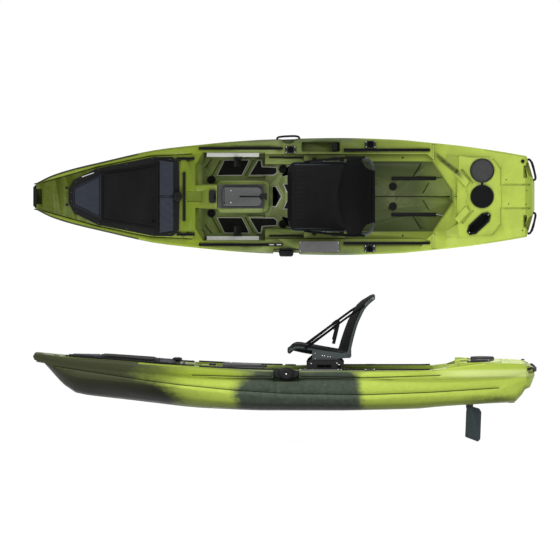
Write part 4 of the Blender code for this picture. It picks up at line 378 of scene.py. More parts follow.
def side_colours(looks, x, z, broad, fine):
    """Outer sides: olive bow, lime, dark middle, lime stern, each running into the next."""
    high = z.step(0.16, 0.30)

    # how much of a point belongs to the olive bow
    loose = broad * 0.45 + fine * 0.16
    over = (z - 0.25).combined("MAXIMUM", 0.0)
    edge = x + z.combined("MINIMUM", 0.25) - over * 0.9 + loose
    width = high * looks.bow_fade_width + 0.12
    bow = 1.0 - ((edge - looks.bow_fade) / width).step(-1.0, 1.0)

    # how much belongs to the dark middle
    ragged = broad * 0.14 + fine * 0.07 + high * -0.055
    fade = high * 0.075 + 0.045
    fore = ((x + ragged - looks.middle_start) / fade).step(-1.0, 1.0)
    torn = broad * 0.12 + fine * 0.09
    fade = z.step(0.27, 0.33) * 0.10 + 0.042
    aft = ((x + z * 0.12 + torn - looks.middle_end) / fade).step(-1.0, 1.0)
    middle = fore * (1.0 - aft)

    # the lime between and behind them, with painted shade on its upper band aft and a painted highlight
    # along the top of the stern
    mottled = (fine * 1.6).combined("ADD", 0.5, clamp=True)
    lime = blend(mottled, looks.lime, looks.lime_shade)
    lime = blend(high * x.step(0.60, 0.80) * 0.55, lime, looks.lime_shade)
    lime = blend(z.spot(0.262, 0.318, 0.014) * x.step(1.05, 1.40) * 0.60, lime, looks.crest_highlight_lime)
    lime = blend(z.step(0.205, 0.280) * x.spot(-1.10, -0.30, 0.12) * 0.90, lime, looks.rim_green)
    # painted shade on the olive bow toward the keel
    keel = (z + fine * 0.12).step(0.07, 0.27)
    side = blend(bow, lime, blend(1.0 - keel, looks.bow_green, looks.bow_keel_shade))
    dark = blend(mottled, looks.middle_green, looks.middle_shade)
    # painted shade on the upper band of the dark middle
    side = blend(middle, side, blend(high * 0.75, dark, looks.middle_shade))

    # painted shade toward the keel and under the top strake, and darker smudges below the stern
    bottom = (1.0 - z.step(0.0, 0.085)) * (x * -1.0).step(-1.3, -0.2)
    side = blend(bottom, side, side.shaded(0.45))
    under = z.spot(0.252, 0.271, 0.010) * x.step(-0.55, -0.25) * (middle * 0.50 + 0.20)
    side = blend(under, side, looks.strake_shade_green)
    smudge = x.spot(1.42, 1.72, 0.09) * z.spot(0.05, 0.120, 0.03)
    smudge = smudge * ((fine * 0.6 + broad).step(-0.20, 0.16) * 0.55)
    return blend(smudge, side, looks.bow_green)


def deck_colours(looks, x, y, z, broad, fine):
    """Deck and wells: lime at the stern, olive forward, darker on the deep floors."""
    along = x + (broad * 0.12 + fine * 0.04)
    # painted highlight on the gunwale band forward, brighter than the deck inside it
    rim = (abs(y) - looks.rim_line(x)).step(-0.004, 0.010) * (1.0 - x.step(-0.75, -0.45))
    deck = blend(rim, ramp_along(along, looks.deck_stops()), looks.rim_green)
    outer = (abs(y) + broad * 0.06).step(0.385, 0.435) * x.spot(-0.36, 0.56, 0.10)
    deck = blend(outer * 0.60, deck, looks.middle_green)
    deck = blend(1.0 - z.step(0.18, 0.30), deck, ramp_along(along, looks.floor_stops()))

    # painted shade down the tankwell's starboard corner, on its sloped wall
    slope_shade = (y - (x * -0.82 + 1.262)).spot(-0.022, 0.022, 0.016) * x.spot(1.15, 1.345, 0.03)
    slope_shade = slope_shade * ((fine * 0.7 + broad).step(-0.42, 0.10) * 0.9)
    return blend(slope_shade, deck, looks.bow_green)


def hull_finish(looks):
    """Rotomoulded plastic: greens that run into each other, with painted shade in its moulded lines."""
    tree, shader = start_finish("hull_plastic_two_greens")
    place, x, y, z = object_place(tree)
    stretched = field(tree, "ShaderNodeMapping", {"Vector": place, "Scale": (0.7, 1.0, 1.6)})
    broad = stretched.noise(4.0, 5.0, 0.6) - 0.5
    fine = place.noise(26.0, 6.0, 0.7) - 0.5
    side = side_colours(looks, x, z, broad, fine)
    deck = drifting(tree, deck_colours(looks, x, y, z, broad, fine), 0.22, 7.0)
    inner = field(tree, "ShaderNodeAttribute", {}, "Fac", attribute_name="inside")
    tone = blend(inner, side, deck)
    # painted shade in the grooves and recesses cut into the hull
    groove_shade = field(tree, "ShaderNodeAttribute", {}, "Fac", attribute_name="groove_shade")
    tone = blend(groove_shade, tone, tone.shaded(0.30))

    # painted shade in nooks and on undersides, and paler along sharp edges: partly wear, partly painted
    # highlight
    nook = field(tree, "ShaderNodeAmbientOcclusion", {"Distance": looks.nook_shade_reach}, "AO", samples=8)
    tone = blend(1.0 - nook.step(0.30, 0.95), tone, tone.shaded(0.38))
    normal = field(tree, "ShaderNodeNewGeometry", output="Normal")
    down = field(tree, "ShaderNodeSeparateXYZ", {"Vector": normal}, "Z") * -1.0
    tone = blend(down.step(0.30, 0.80), tone, tone.shaded(0.42))
    rub_and_highlight = use_group(tree, "wear", {"Reach": 0.54})["Worn"] * (inner * 0.16 + 0.06)
    tone = blend(rub_and_highlight, tone, (0.50, 0.56, 0.26))
    surface = use_group(tree, "grain", {"Grain per metre": 420.0, "Wave per metre": 11.0, "Wave share": 1.6})
    set_inputs(tree, shader.inputs, {"Base Color": tone, "Specular IOR Level": 0.11,
                                     "Roughness": surface["Patch"].ranged(0.0, 1.0, 0.30, 0.46)})
    add_bump(tree, shader, surface["Height"], 0.0006, 0.35, looks.corner_radius)


# Mesh tools

def mesh_from(form, name, smooth_degrees=38.0):
    bmesh.ops.recalc_face_normals(form, faces=form.faces)
    mesh = bpy.data.meshes.new(name)
    form.to_mesh(mesh)
    form.free()
    mesh.shade_smooth()
    mesh.set_sharp_from_angle(angle=math.radians(smooth_degrees))
    return mesh


def new_piece(name, form, finishes, body=None, smooth_degrees=38.0):
    """Object made from a form, with its finishes, riding on a body."""
    mesh = mesh_from(form, name, smooth_degrees)
    piece = bpy.data.objects.new(name, mesh)
    bpy.context.scene.collection.objects.link(piece)
    for finish in ([finishes] if isinstance(finishes, str) else finishes):
        mesh.materials.append(FINISHES[finish])
    if body:
        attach(piece, body)
    return piece


def surface_tree(node):
    """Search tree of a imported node's faces."""
    if node not in TREES:
        form = bmesh.new()
        form.from_mesh(NODES[node].data)
        TREES[node] = BVHTree.FromBMesh(form)
        form.free()
    return TREES[node]


def top_of(x, y, node="hull"):
    """Height of a node's upper face at a place in plan."""
    hit = surface_tree(node).ray_cast(Vector((x, y, 1.0)), Vector((0, 0, -1)))
    if hit[0] is None:
        raise RuntimeError(f"nothing under x {x:.3f}, y {y:.3f} on {node}")
    return hit[0].z


def side_frame(along, up=Vector((0, 0, 1))):
    """Two directions across a path."""
    across = along.cross(up)
    if across.length < 1e-4:
        across = along.cross(Vector((0, 1, 0)))
    across.normalize()
    return across, across.cross(along).normalized()


def path_directions(points, closed=False):
    count = len(points)
    result = []
    for i in range(count):
        before = points[i - 1] if closed or i else points[0]
        after = points[(i + 1) % count] if closed or i < count - 1 else points[-1]
        result.append((after - before).normalized())
    return result


def skin_rings(form, rings, closed=False, material=0):
    rows = [[form.verts.new(point) for point in ring] for ring in rings]
    pairs = list(zip(rows, rows[1:])) + ([(rows[-1], rows[0])] if closed else [])
    count = len(rows[0])
    for low, high in pairs:
        for i in range(count):
            j = (i + 1) % count
            form.faces.new((low[i], low[j], high[j], high[i])).material_index = material
    if not closed:
        form.faces.new(list(reversed(rows[0]))).material_index = material
        form.faces.new(rows[-1]).material_index = material


def add_tube(form, points, radius, sides=10, closed=False, material=0):
    points = [Vector(point) for point in points]
    rings = []
    for point, along in zip(points, path_directions(points, closed)):
        across, up = side_frame(along)
        rings.append([point + (across * math.cos(a) + up * math.sin(a)) * radius
                      for a in (2 * math.pi * k / sides for k in range(sides))])
    skin_rings(form, rings, closed, material=material)


def add_band(form, points, sideways, width, thickness):
    """Flat strap along points, its width along sideways."""
    points = [Vector(point) for point in points]
    rings = []
    for i, (point, along) in enumerate(zip(points, path_directions(points))):
        wide = Vector(sideways[i] if isinstance(sideways, list) else sideways).normalized()
        wide = (wide - along * wide.dot(along)).normalized()
        out = along.cross(wide).normalized() * (thickness / 2)
        reach = wide * (width / 2)
        edge = reach * (1 - 0.35 * thickness / width)
        rings.append([point - reach, point - edge - out, point + edge - out,
                      point + reach, point + edge + out, point - edge + out])
    skin_rings(form, rings)


def smooth_points(points, steps=6, closed=False):
    """Catmull-Rom curve through points."""
    points = [Vector(point) for point in points]
    ends = [points[-1], *points, points[0], points[1]] if closed else [points[0], *points, points[-1]]
    result = []
    for i in range(len(ends) - 3):
        a, b, c, d = ends[i:i + 4]
        for k in range(steps):
            t = k / steps
            result.append(0.5 * (2 * b + (c - a) * t + (2 * a - 5 * b + 4 * c - d) * t ** 2
                                 + (3 * b - a - 3 * c + d) * t ** 3))
    if not closed:
        result.append(points[-1])
    return result


def rounded_outline(points, radius, steps=4):
    result = []
    count = len(points)
    for i, corner in enumerate(points):
        here = Vector(corner)
        before = Vector(points[i - 1]) - here
        after = Vector(points[(i + 1) % count]) - here
        reach = min(radius / math.tan(before.angle(after) / 2), before.length * 0.45, after.length * 0.45)
        first = here + before.normalized() * reach
        last = here + after.normalized() * reach
        result += [first * (1 - t) ** 2 + here * 2 * t * (1 - t) + last * t ** 2
                   for t in (k / steps for k in range(steps + 1))]
    return result


def turn_way(points):
    """1 for a counter-clockwise outline, -1 for a clockwise one."""
    area = sum(a[0] * b[1] - a[1] * b[0] for a, b in zip(points, points[1:] + points[:1]))
    return 1 if area > 0 else -1


def grown_outline(points, distance):
    count = len(points)
    way = turn_way([tuple(point) for point in points])
    result = []
    for i in range(count):
        here = Vector(points[i])
        before = (here - Vector(points[i - 1])).normalized()
        after = (Vector(points[(i + 1) % count]) - here).normalized()
        middle = (Vector((before.y, -before.x)) + Vector((after.y, -after.x))) * way
        middle.normalize()
        share = max(middle.dot(Vector((after.y, -after.x)) * way), 0.5)
        result.append(here + middle * (distance / share))
    return result


def add_plate(form, outline, low, high, chamfer=0.0, material=0):
    """Upright plate on an outline, with a chamfered top edge; low and high may be functions of x and y."""
    low_at = low if callable(low) else (lambda x, y: low)
    high_at = high if callable(high) else (lambda x, y: high)
    rings = [[(x, y, low_at(x, y)) for x, y in outline],
             [(x, y, high_at(x, y) - chamfer) for x, y in outline]]
    if chamfer:
        rings.append([(x, y, high_at(x, y)) for x, y in grown_outline(outline, -chamfer)])
    skin_rings(form, rings, material=material)


def add_screw(form, place, facing, radius):
    """Domed screw head with a socket, seated on place and facing outward."""
    facing = Vector(facing).normalized()
    across, up = side_frame(facing, Vector((0.3, 1, 0.2)))
    rings = []
    for share, height in ((1.0, 0.0), (1.0, 0.18), (0.86, 0.42), (0.55, 0.58), (0.40, 0.58), (0.34, 0.15)):
        rings.append([Vector(place) + facing * (height * radius)
                      + (across * math.cos(a) + up * math.sin(a)) * (radius * share)
                      for a in (math.pi * k / 6 for k in range(12))])
    skin_rings(form, rings)


def box_outline(low_x, low_y, high_x, high_y):
    return [(low_x, low_y), (high_x, low_y), (high_x, high_y), (low_x, high_y)]


def level_ring(x, y, z, radius, sides=24):
    return [(x + radius * math.cos(a), y + radius * math.sin(a), z)
            for a in (2 * math.pi * k / sides for k in range(sides))]


def add_box(form, low, high, chamfer=0.0):
    add_plate(form, box_outline(low[0], low[1], high[0], high[1]), low[2], high[2], chamfer)


def add_sheet(form, columns, rows, place, lift):
    """Closed thin sheet over a grid: place(u, v) is its face, lift(u, v) leads to its back."""
    front = [[form.verts.new(place(i / columns, j / rows)) for j in range(rows + 1)]
             for i in range(columns + 1)]
    back = [[form.verts.new(Vector(vert.co) + lift(i / columns, j / rows)) for j, vert in enumerate(line)]
            for i, line in enumerate(front)]
    for i in range(columns):
        for j in range(rows):
            form.faces.new((front[i][j], front[i + 1][j], front[i + 1][j + 1], front[i][j + 1]))
            form.faces.new((back[i][j], back[i][j + 1], back[i + 1][j + 1], back[i + 1][j]))
    edge = [(i, 0) for i in range(columns)] + [(columns, j) for j in range(rows)]
    edge += [(i, rows) for i in range(columns, 0, -1)] + [(0, j) for j in range(rows, 0, -1)]
    for (i, j), (m, n) in zip(edge, edge[1:] + edge[:1]):
        form.faces.new((front[i][j], back[i][j], back[m][n], front[m][n]))


def on_side(points, side):
    """Points in plan, their y multiplied by 1 or -1."""
    return [(x, y * side) for x, y in points]


def mirrored_outline(points):
    """Closed outline from its half on the port side, bow end first."""
    return list(points) + [(x, -y) for x, y in reversed(points)]


def table_value(table, x):
    """Straight interpolation in a table of (x, value)."""
    if x <= table[0][0]:
        return table[0][1]
    for (a, first), (b, second) in zip(table, table[1:]):
        if x <= b:
            return first + (second - first) * (x - a) / (b - a)
    return table[-1][1]


# Sizes and colours

def colour_property(name, description, default):
    return bpy.props.FloatVectorProperty(name=name, description=description, default=default, size=3,
                                         min=0.0, max=1.0, subtype="COLOR")


def length_property(name, description, default):
    return bpy.props.FloatProperty(name=name, description=description, default=default, unit="LENGTH",
                                   precision=4)


def angle_property(name, description, degrees):
    return bpy.props.FloatProperty(name=name, description=description, default=math.radians(degrees),
                                   subtype="ANGLE")


def number_property(name, description, default):
    return bpy.props.FloatProperty(name=name, description=description, default=default)


class KayakHullLooks(bpy.types.PropertyGroup):
    lime: colour_property("Lime", "Bright green of the hull sides", (0.43, 0.53, 0.09))
    # also the painted shade on the upper band aft
    lime_shade: colour_property("Lime, darker", "Darker mottling in the bright green", (0.33, 0.44, 0.055))
    # painted highlight along the top of the stern
    crest_highlight_lime: colour_property("Crest lime", "Paler green along the stern's top", (0.66, 0.74, 0.30))
    bow_green: colour_property("Bow green", "Olive at the bow", (0.036, 0.041, 0.018))
    # painted shade toward the keel at the bow
    bow_keel_shade: colour_property("Bow green, darker", "Olive under the bow", (0.006, 0.007, 0.001))
    middle_green: colour_property("Middle green", "Dark green amidships", (0.072, 0.092, 0.068))
    # also the painted shade on the upper band of the dark middle
    middle_shade: colour_property("Middle green, darker", "Darker mottling amidships", (0.022, 0.032, 0.020))
    # on the deck the painted highlight of the gunwale band forward; on the sides the olive tint high up
    # forward
    rim_green: colour_property("Rim green", "Brighter green of the gunwales forward", (0.21, 0.28, 0.022))
    # painted shade under the top strake
    strake_shade_green: colour_property("Groove green", "Dark green of the carved lines", (0.012, 0.016, 0.004))
    bow_fade: length_property("Bow fade", "Middle of the olive bow's fade, at keel height", -0.715)
    bow_fade_width: length_property("Bow fade width", "How much softer the fade grows toward the deck", 0.20)
    middle_start: length_property("Middle start", "Fore end of the dark middle", -0.362)
    middle_end: length_property("Middle end", "Aft end of the dark middle", 0.605)
    corner_radius: length_property("Corner radius", "Rounding of the moulded corners", 0.005)
    # reach of the painted shade in nooks
    nook_shade_reach: length_property("Nook reach", "How far the darker tone reaches out of inner corners", 0.09)

    def deck_stops(self):
        """Deck colour from bow to stern as (x, colour)."""
        return ((-1.88, (0.050, 0.070, 0.001)), (-1.30, (0.084, 0.118, 0.003)),
                (-0.75, (0.155, 0.215, 0.014)), (-0.30, (0.165, 0.210, 0.055)),
                (0.45, (0.160, 0.210, 0.050)), (0.85, (0.26, 0.34, 0.055)),
                (1.25, (0.42, 0.54, 0.080)), (1.88, (0.49, 0.62, 0.095)))

    def floor_stops(self):
        """Colour of the deep floors from bow to stern as (x, colour)."""
        return ((-0.70, (0.270, 0.340, 0.110)), (0.40, (0.300, 0.365, 0.160)),
                (0.62, (0.060, 0.077, 0.028)), (1.00, (0.082, 0.106, 0.038)), (1.28, (0.23, 0.30, 0.070)))

    def rim_line(self, x):
        """Half width of the forward deck inside its brighter gunwales."""
        return x.ranged(-1.42, -0.70, 0.226, 0.326) + x.ranged(-1.88, -1.42, 0.100, 0.226) - 0.226


class KayakDeckCarving(bpy.types.PropertyGroup):
    groove_width: length_property("Groove width", "Width of the grooves moulded in the hull", 0.0075)
    groove_depth: length_property("Groove depth", "Depth of the grooves moulded in the hull", 0.0035)
    ridge_height: length_property("Ridge height", "Height of the raised blocks on the deck", 0.015)
    rack_height: length_property("Rack height", "Height of the racks beside the seat", 0.012)


class KayakSoftGoods(bpy.types.PropertyGroup):
    cover_cloth: colour_property("Cover cloth", "Slate cloth of the bow cover", (0.036, 0.041, 0.053))
    seat_cloth: colour_property("Seat cloth", "Black mesh of the seat", (0.0135, 0.0135, 0.014))
    foam_edge: colour_property("Foam edge", "Pale layer that shows round the foam pads", (0.62, 0.62, 0.56))
    seat_sag: length_property("Seat sag", "Depth of the seat cloth between its tubes", 0.030)
    cloth_thickness: length_property("Cloth thickness", "Thickness of the seat cloth", 0.0016)
    fold_height: length_property("Fold height", "Height of the folds in the bow cloths", 0.0045)


class KayakFittings(bpy.types.PropertyGroup):
    screw_radius: length_property("Screw radius", "Radius of the screw heads on the deck", 0.0048)
    small_screw_radius: length_property("Small screw radius", "Radius of the smaller screws", 0.0036)
    buckle_length: length_property("Buckle length", "Length of the buckles on the back straps", 0.050)
    strap_turn: angle_property("Strap turn", "How far the back straps turn about themselves", 50.0)


class KayakStudio(bpy.types.PropertyGroup):
    elevation: angle_property("Camera elevation", "Height of the view above the horizon", 3.0)
    frame_width: length_property("Frame width", "Width of the picture at the kayak", 4.256)
    centre_x: length_property("Frame centre, along", "Place along the kayak in mid picture", -0.0323)
    centre_up: length_property("Frame centre, up", "Height of the middle of the picture", 0.983)
    sky_strength: number_property("Sky strength", "Light from all round", 0.55)
    key_strength: number_property("Key strength", "Watts of the main lamp", 150.0)
    floor_glow: number_property("Floor glow", "Share of plain white in the floor", 0.86)


SETTINGS = (("hull_looks", KayakHullLooks), ("deck_carving", KayakDeckCarving),
            ("soft_goods", KayakSoftGoods), ("fittings", KayakFittings), ("studio", KayakStudio))


def kayak_settings(context):
    return context.scene.kayak_finish


# Finishes

def make_finishes(looks, soft):
    hull_finish(looks)
    black = (0.0062, 0.0062, 0.0066)
    hatch_low, hatch_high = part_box("round_hatch_lid")
    hatch_centre = (hatch_low + hatch_high) / 2
    plastic_finish("black_plastic", black, (0.022, 0.022, 0.022), 0.42, 0.58)
    plastic_finish("dark_screw", (0.030, 0.030, 0.031), (0.09, 0.09, 0.09), 0.35, 0.5, gloss=0.3)
    plastic_finish("dark_rubber", (0.009, 0.009, 0.0095), (0.02, 0.02, 0.02), 0.6, 0.8, grain=600.0,
                   gloss=0.1)
    plastic_finish("lid_plastic", (0.054, 0.056, 0.054), (0.10, 0.10, 0.10), 0.45, 0.62, grain=500.0,
                   depth=0.0004, chips=0.12, part=part_beyond(hatch_centre, 0.079), part_colour=black)
    plastic_finish("plug_plastic", (0.040, 0.041, 0.042), (0.15, 0.15, 0.15), 0.42, 0.58, chips=0.10,
                   part=part_above(0.3385), part_colour=(0.083, 0.085, 0.086))
    plastic_finish("grey_cap", (0.105, 0.107, 0.110), (0.2, 0.2, 0.2), 0.42, 0.55)
    plastic_finish("base_plastic", (0.018, 0.018, 0.019), (0.06, 0.06, 0.06), 0.42, 0.58)
    plastic_finish("speckled_grey", (0.042, 0.043, 0.044), (0.2, 0.2, 0.2), 0.5, 0.65, grain=500.0,
                   depth=0.0004, chips=0.40)
    plastic_finish("slate_plastic", (0.036, 0.050, 0.056), (0.08, 0.10, 0.11), 0.35, 0.5)
    plastic_finish("slate_tube", (0.020, 0.028, 0.029), (0.07, 0.08, 0.085), 0.32, 0.44, depth=0.0001,
                   gloss=0.2)
    plastic_finish("seat_frame_coat", black, (0.05, 0.06, 0.06), 0.32, 0.44, depth=0.0001, gloss=0.15,
                   part=part_above(0.4040), part_colour=(0.024, 0.033, 0.034))
    plastic_finish("white_rail", (0.96, 0.96, 0.95), (0.6, 0.6, 0.6), 0.28, 0.4)
    plastic_finish("cover_black", (0.0065, 0.0065, 0.0068), (0.02, 0.02, 0.02), 0.62, 0.78, grain=420.0,
                   depth=0.0005, gloss=0.05)
    plastic_finish("foam_edge", tuple(soft.foam_edge), (0.5, 0.5, 0.45), 0.75, 0.9, grain=600.0)
    plastic_finish("cord_white", (0.72, 0.72, 0.70), (0.6, 0.6, 0.6), 0.6, 0.8)
    plastic_finish("cord_olive", (0.10, 0.13, 0.03), (0.1, 0.1, 0.1), 0.6, 0.8)
    foam_finish()
    steel_finish()
    fabric_finish("cover_cloth", tuple(soft.cover_cloth), (0.022, 0.025, 0.032), 900.0, 0.0003, 0.78, 0.04)
    fabric_finish("seat_cloth", tuple(soft.seat_cloth), (0.003, 0.003, 0.003), 520.0, 0.0007, 0.85, 0.01,
                  (0.033, 0.088, 0.150))
    fabric_finish("back_cloth", (0.0042, 0.0042, 0.0045), (0.002, 0.002, 0.002), 520.0, 0.0007, 0.85)
    fabric_finish("binding", (0.0055, 0.0055, 0.006), (0.002, 0.002, 0.002), 700.0, 0.0004, 0.8)
    fabric_finish("webbing", (0.0065, 0.0065, 0.007), (0.002, 0.002, 0.002), 420.0, 0.0006, 0.75)
    fabric_finish("stitch_thread", (0.09, 0.095, 0.11), (0.04, 0.04, 0.04), 900.0, 0.0001, 0.8)


NODE_FINISHES = {
    "accessory_base": "base_plastic", "bow_handle": "black_plastic", "bow_lid": "cover_black",
    "bow_cover_frame": "cover_black", "cover_hub": "black_plastic", "drain_plug": "black_plastic",
    "drive_lock_bracket": "black_plastic", "drive_plug": "plug_plastic", "foot_peg": "black_plastic",
    "foot_rail": "white_rail", "gear_track": "black_plastic", "plug_latch": "black_plastic",
    "rod_pocket": "black_plastic", "round_hatch_ring": "black_plastic", "round_hatch_lid": "lid_plastic",
    "centre_hatch_lid": "black_plastic", "rudder_bearing": "black_plastic", "rudder_blade": "slate_plastic",
    "rudder_head": "slate_plastic", "rudder_tiller": "slate_tube", "scupper_plug": "dark_rubber",
    "seat_base": "black_plastic", "seat_frame": "seat_frame_coat", "back_frame": "slate_tube",
    "side_handle": "black_plastic", "side_plate_port": "speckled_grey", "skid_pad": "dark_rubber",
    "steering_cable": "dark_rubber", "steering_knob": "black_plastic", "steering_plate": "black_plastic",
    "stern_handle": "black_plastic", "tankwell_strip": "deck_foam",
}


def dress_nodes():
    for name, item in NODES.items():
        for start, finish in NODE_FINISHES.items():
            if name.startswith(start):
                item.data.materials.clear()
                item.data.materials.append(FINISHES[finish])
                break


# Hull carving

def spread_along(points, step):
    """Points with more of them between, about a step apart."""
    spread = [Vector(points[0])]
    for a, b in zip(points, points[1:]):
        steps = max(1, int((Vector(b) - Vector(a)).length / step))
        spread += [Vector(a).lerp(Vector(b), (k + 1) / steps) for k in range(steps)]
    return spread


def line_cutter(form, points, low_half, high_half, low, high, step=0.10):
    """Bar along points in plan that follows the hull's surface: half widths and heights from it."""
    spread = spread_along(points, step)
    rings = []
    for i, point in enumerate(spread):
        before = (point - spread[i - 1]).normalized() if i else None
        after = (spread[i + 1] - point).normalized() if i < len(spread) - 1 else None
        along = ((before or after) + (after or before)).normalized()
        share = max(along.dot(after or before), 0.5)
        side = Vector((-along.y, along.x)) / share
        z = top_of(point.x, point.y)
        rings.append([(*(point + side * low_half), z + low), (*(point - side * low_half), z + low),
                      (*(point - side * high_half), z + high), (*(point + side * high_half), z + high)])
    skin_rings(form, rings)


def both_sides(lines):
    return [list(line) for line in lines] + [[(x, -y) for x, y in line] for line in lines]


DECK_GROOVES = both_sides([
    [(-1.835, 0.107), (-1.640, 0.162), (-1.420, 0.224), (-1.200, 0.270), (-1.025, 0.305), (-0.700, 0.323)],
    [(1.0386, 0.250), (0.9793, 0.152)],
    [(1.100, 0.104), (1.052, 0.024)],
    [(-0.602, 0.217), (-0.552, 0.283)],
    [(-0.550, 0.156), (-0.485, 0.277)],
    [(-0.296, 0.158), (-0.233, 0.276)],
]) + [[(0.560, 0.0), (1.262, 0.0)]]
STERN_CREASES = both_sides([
    [(1.588, 0.287), (1.648, 0.205), (1.648, 0.0895), (1.868, 0.0895)],
    [(1.350, 0.205), (1.420, 0.120), (1.436, 0.105)],
])
SIDE_GROOVES = (
    [(-1.750, 0.337), (-1.428, 0.2905), (-1.050, 0.2355), (-0.798, 0.2058), (-0.332, 0.1614),
     (0.050, 0.1392), (0.610, 0.1326), (1.123, 0.1503), (1.630, 0.1800)],
    [(-0.700, 0.2798), (-0.357, 0.2719), (-0.095, 0.2735)],
    [(0.125, 0.2720), (0.346, 0.2685), (0.610, 0.2619), (0.898, 0.2711), (1.187, 0.2790)],
)
DECK_RIDGES = both_sides([
    [(1.293, 0.004), (1.385, 0.040)],
    [(-0.046, 0.100), (0.002, 0.004)],
    [(-0.148, 0.3100), (0.144, 0.3100)],
    [(-0.148, 0.2830), (0.144, 0.2830)],
])
RACK_NOTCHES = ((0.229, 0.034, 0.030), (0.334, 0.020, 0.012), (0.437, 0.036, 0.030))


def side_line_cutter(form, points, side, half, depth):
    """Bar along points given as (x, z) that follows the hull's outer side."""
    tree = surface_tree("hull")
    rings = []
    for point in spread_along(points, 0.07):
        hit = tree.ray_cast(Vector((point.x, side * 1.0, point.y)), Vector((0, -side, 0)))
        if hit[0] is None:
            raise RuntimeError(f"no hull side at x {point.x:.3f}, z {point.y:.3f}")
        inner, outer = hit[0].y - side * depth, hit[0].y + side * 0.006
        rings.append([(point.x, inner, point.y + half * 0.4), (point.x, inner, point.y - half * 0.4),
                      (point.x, outer, point.y - half * 1.8), (point.x, outer, point.y + half * 1.8)])
    skin_rings(form, rings)


def rack_outline(side):
    """Rack beside the seat, with notches cut into its inner edge."""
    inner, outer = 0.2650, 0.3160
    front, rear = 0.150, 0.462
    points = [(front, outer), (front, inner)]
    for x, width, depth in RACK_NOTCHES:
        points += [(x - width / 2, inner), (x - width * 0.36, inner + depth),
                   (x + width * 0.36, inner + depth), (x + width / 2, inner)]
    points += [(rear, inner), (rear, outer)]
    return on_side(points, side)


STERN_DECK = 0.3724
SEAT_LEDGE = 0.285
RAMP_FOOT = 0.3318
RAMP_START, RAMP_LENGTH = 1.228, 0.101
STERN_BLOCK = ((1.2931, 0.1701), (1.3313, 0.2020), (1.4104, 0.1143), (1.3814, 0.0679))
STERN_RAMP = ((RAMP_START, 0.262), (1.329, 0.200), (1.332, 0.2985), (1.236, 0.320))
DECK_SEAM = ((1.126, 0.284), (1.138, 0.284), (1.138, 0.394), (1.126, 0.394))
PAD_ISLAND = ((-0.286, 0.146), (-0.158, 0.146), (-0.158, 0.2455), (-0.167, 0.288), (-0.208, 0.288))
HANDLE_POCKET = ((1.818, 0.140), (1.845, 0.140), (1.845, 0.236), (1.818, 0.236))


def ramp_height(x, y):
    return RAMP_FOOT + (STERN_DECK - RAMP_FOOT) * min(1.0, (x - RAMP_START) / RAMP_LENGTH)


def add_deck_blocks(form, sizes):
    """Raised forms of the deck: stern blocks, seat racks, pad islands and ridges."""
    for _, side in SIDES:
        block = rounded_outline(on_side(STERN_BLOCK, side), 0.008)
        add_plate(form, block, RAMP_FOOT + 0.0002, STERN_DECK + sizes.ridge_height, 0.004)
        add_plate(form, on_side(STERN_RAMP, side), 0.325, ramp_height)
        # fills a narrow slit between the side deck and the stern deck
        add_plate(form, on_side(DECK_SEAM, side), 0.300, 0.3184)
        add_plate(form, rack_outline(side), SEAT_LEDGE - 0.0035, SEAT_LEDGE + sizes.rack_height, 0.0016)
        add_plate(form, rounded_outline(on_side(PAD_ISLAND, side), 0.006), 0.1120, 0.1252, 0.002)
        for radius in (0.060, 0.076):
            arc = [(-0.144 + radius * math.cos(a), side * radius * math.sin(a))
                   for a in (math.radians(8 + 9 * k) for k in range(7))]
            line_cutter(form, arc, 0.0030, 0.0018, -0.002, 0.004)
    for line in DECK_RIDGES:
        line_cutter(form, line, 0.0045, 0.0025, -0.002, 0.0045)


def add_recesses(form, sizes):
    """Creases of the stern deck, the slot before the lock bracket and the stern handles' pockets."""
    half = sizes.groove_width / 2
    for line in STERN_CREASES:
        line_cutter(form, line, half * 1.2, half * 3.2, -sizes.groove_depth * 1.1, 0.003, 0.03)
    line_cutter(form, [(-0.742, 0.0), (-0.628, 0.0)], 0.039, 0.0425, -0.0035, 0.004)
    for _, side in SIDES:
        pocket = rounded_outline(on_side(HANDLE_POCKET, side), 0.010)
        add_plate(form, pocket, lambda x, y: top_of(x, y) - 0.004, lambda x, y: top_of(x, y) + 0.004)


def add_deck_grooves(form, sizes):
    half = sizes.groove_width / 2
    for line in DECK_GROOVES:
        line_cutter(form, line, half * 0.6, half * 1.5, -sizes.groove_depth, 0.004)


def add_side_grooves(form, sizes):
    for line in SIDE_GROOVES:
        for _, side in SIDES:
            side_line_cutter(form, line, side, sizes.groove_width / 2, sizes.groove_depth)


# share of painted shade on what is moulded on, in the grooves, and in the wider recesses
GROOVE_SHADE_SHARES = (0.0, 1.0, 0.40)
CARVINGS = (("deck_blocks", add_deck_blocks, "UNION", 0),
            ("deck_recesses", add_recesses, "DIFFERENCE", 2),
            ("deck_grooves", add_deck_grooves, "DIFFERENCE", 1),
            ("side_grooves", add_side_grooves, "DIFFERENCE", 1))


def set_tone_index(mesh, finish, index):
    """The finish once for each share of painted groove shade, and all faces set to one of them."""
    mesh.materials.clear()
    for _ in GROOVE_SHADE_SHARES:
        mesh.materials.append(finish)
    mesh.polygons.foreach_set("material_index", [index] * len(mesh.polygons))


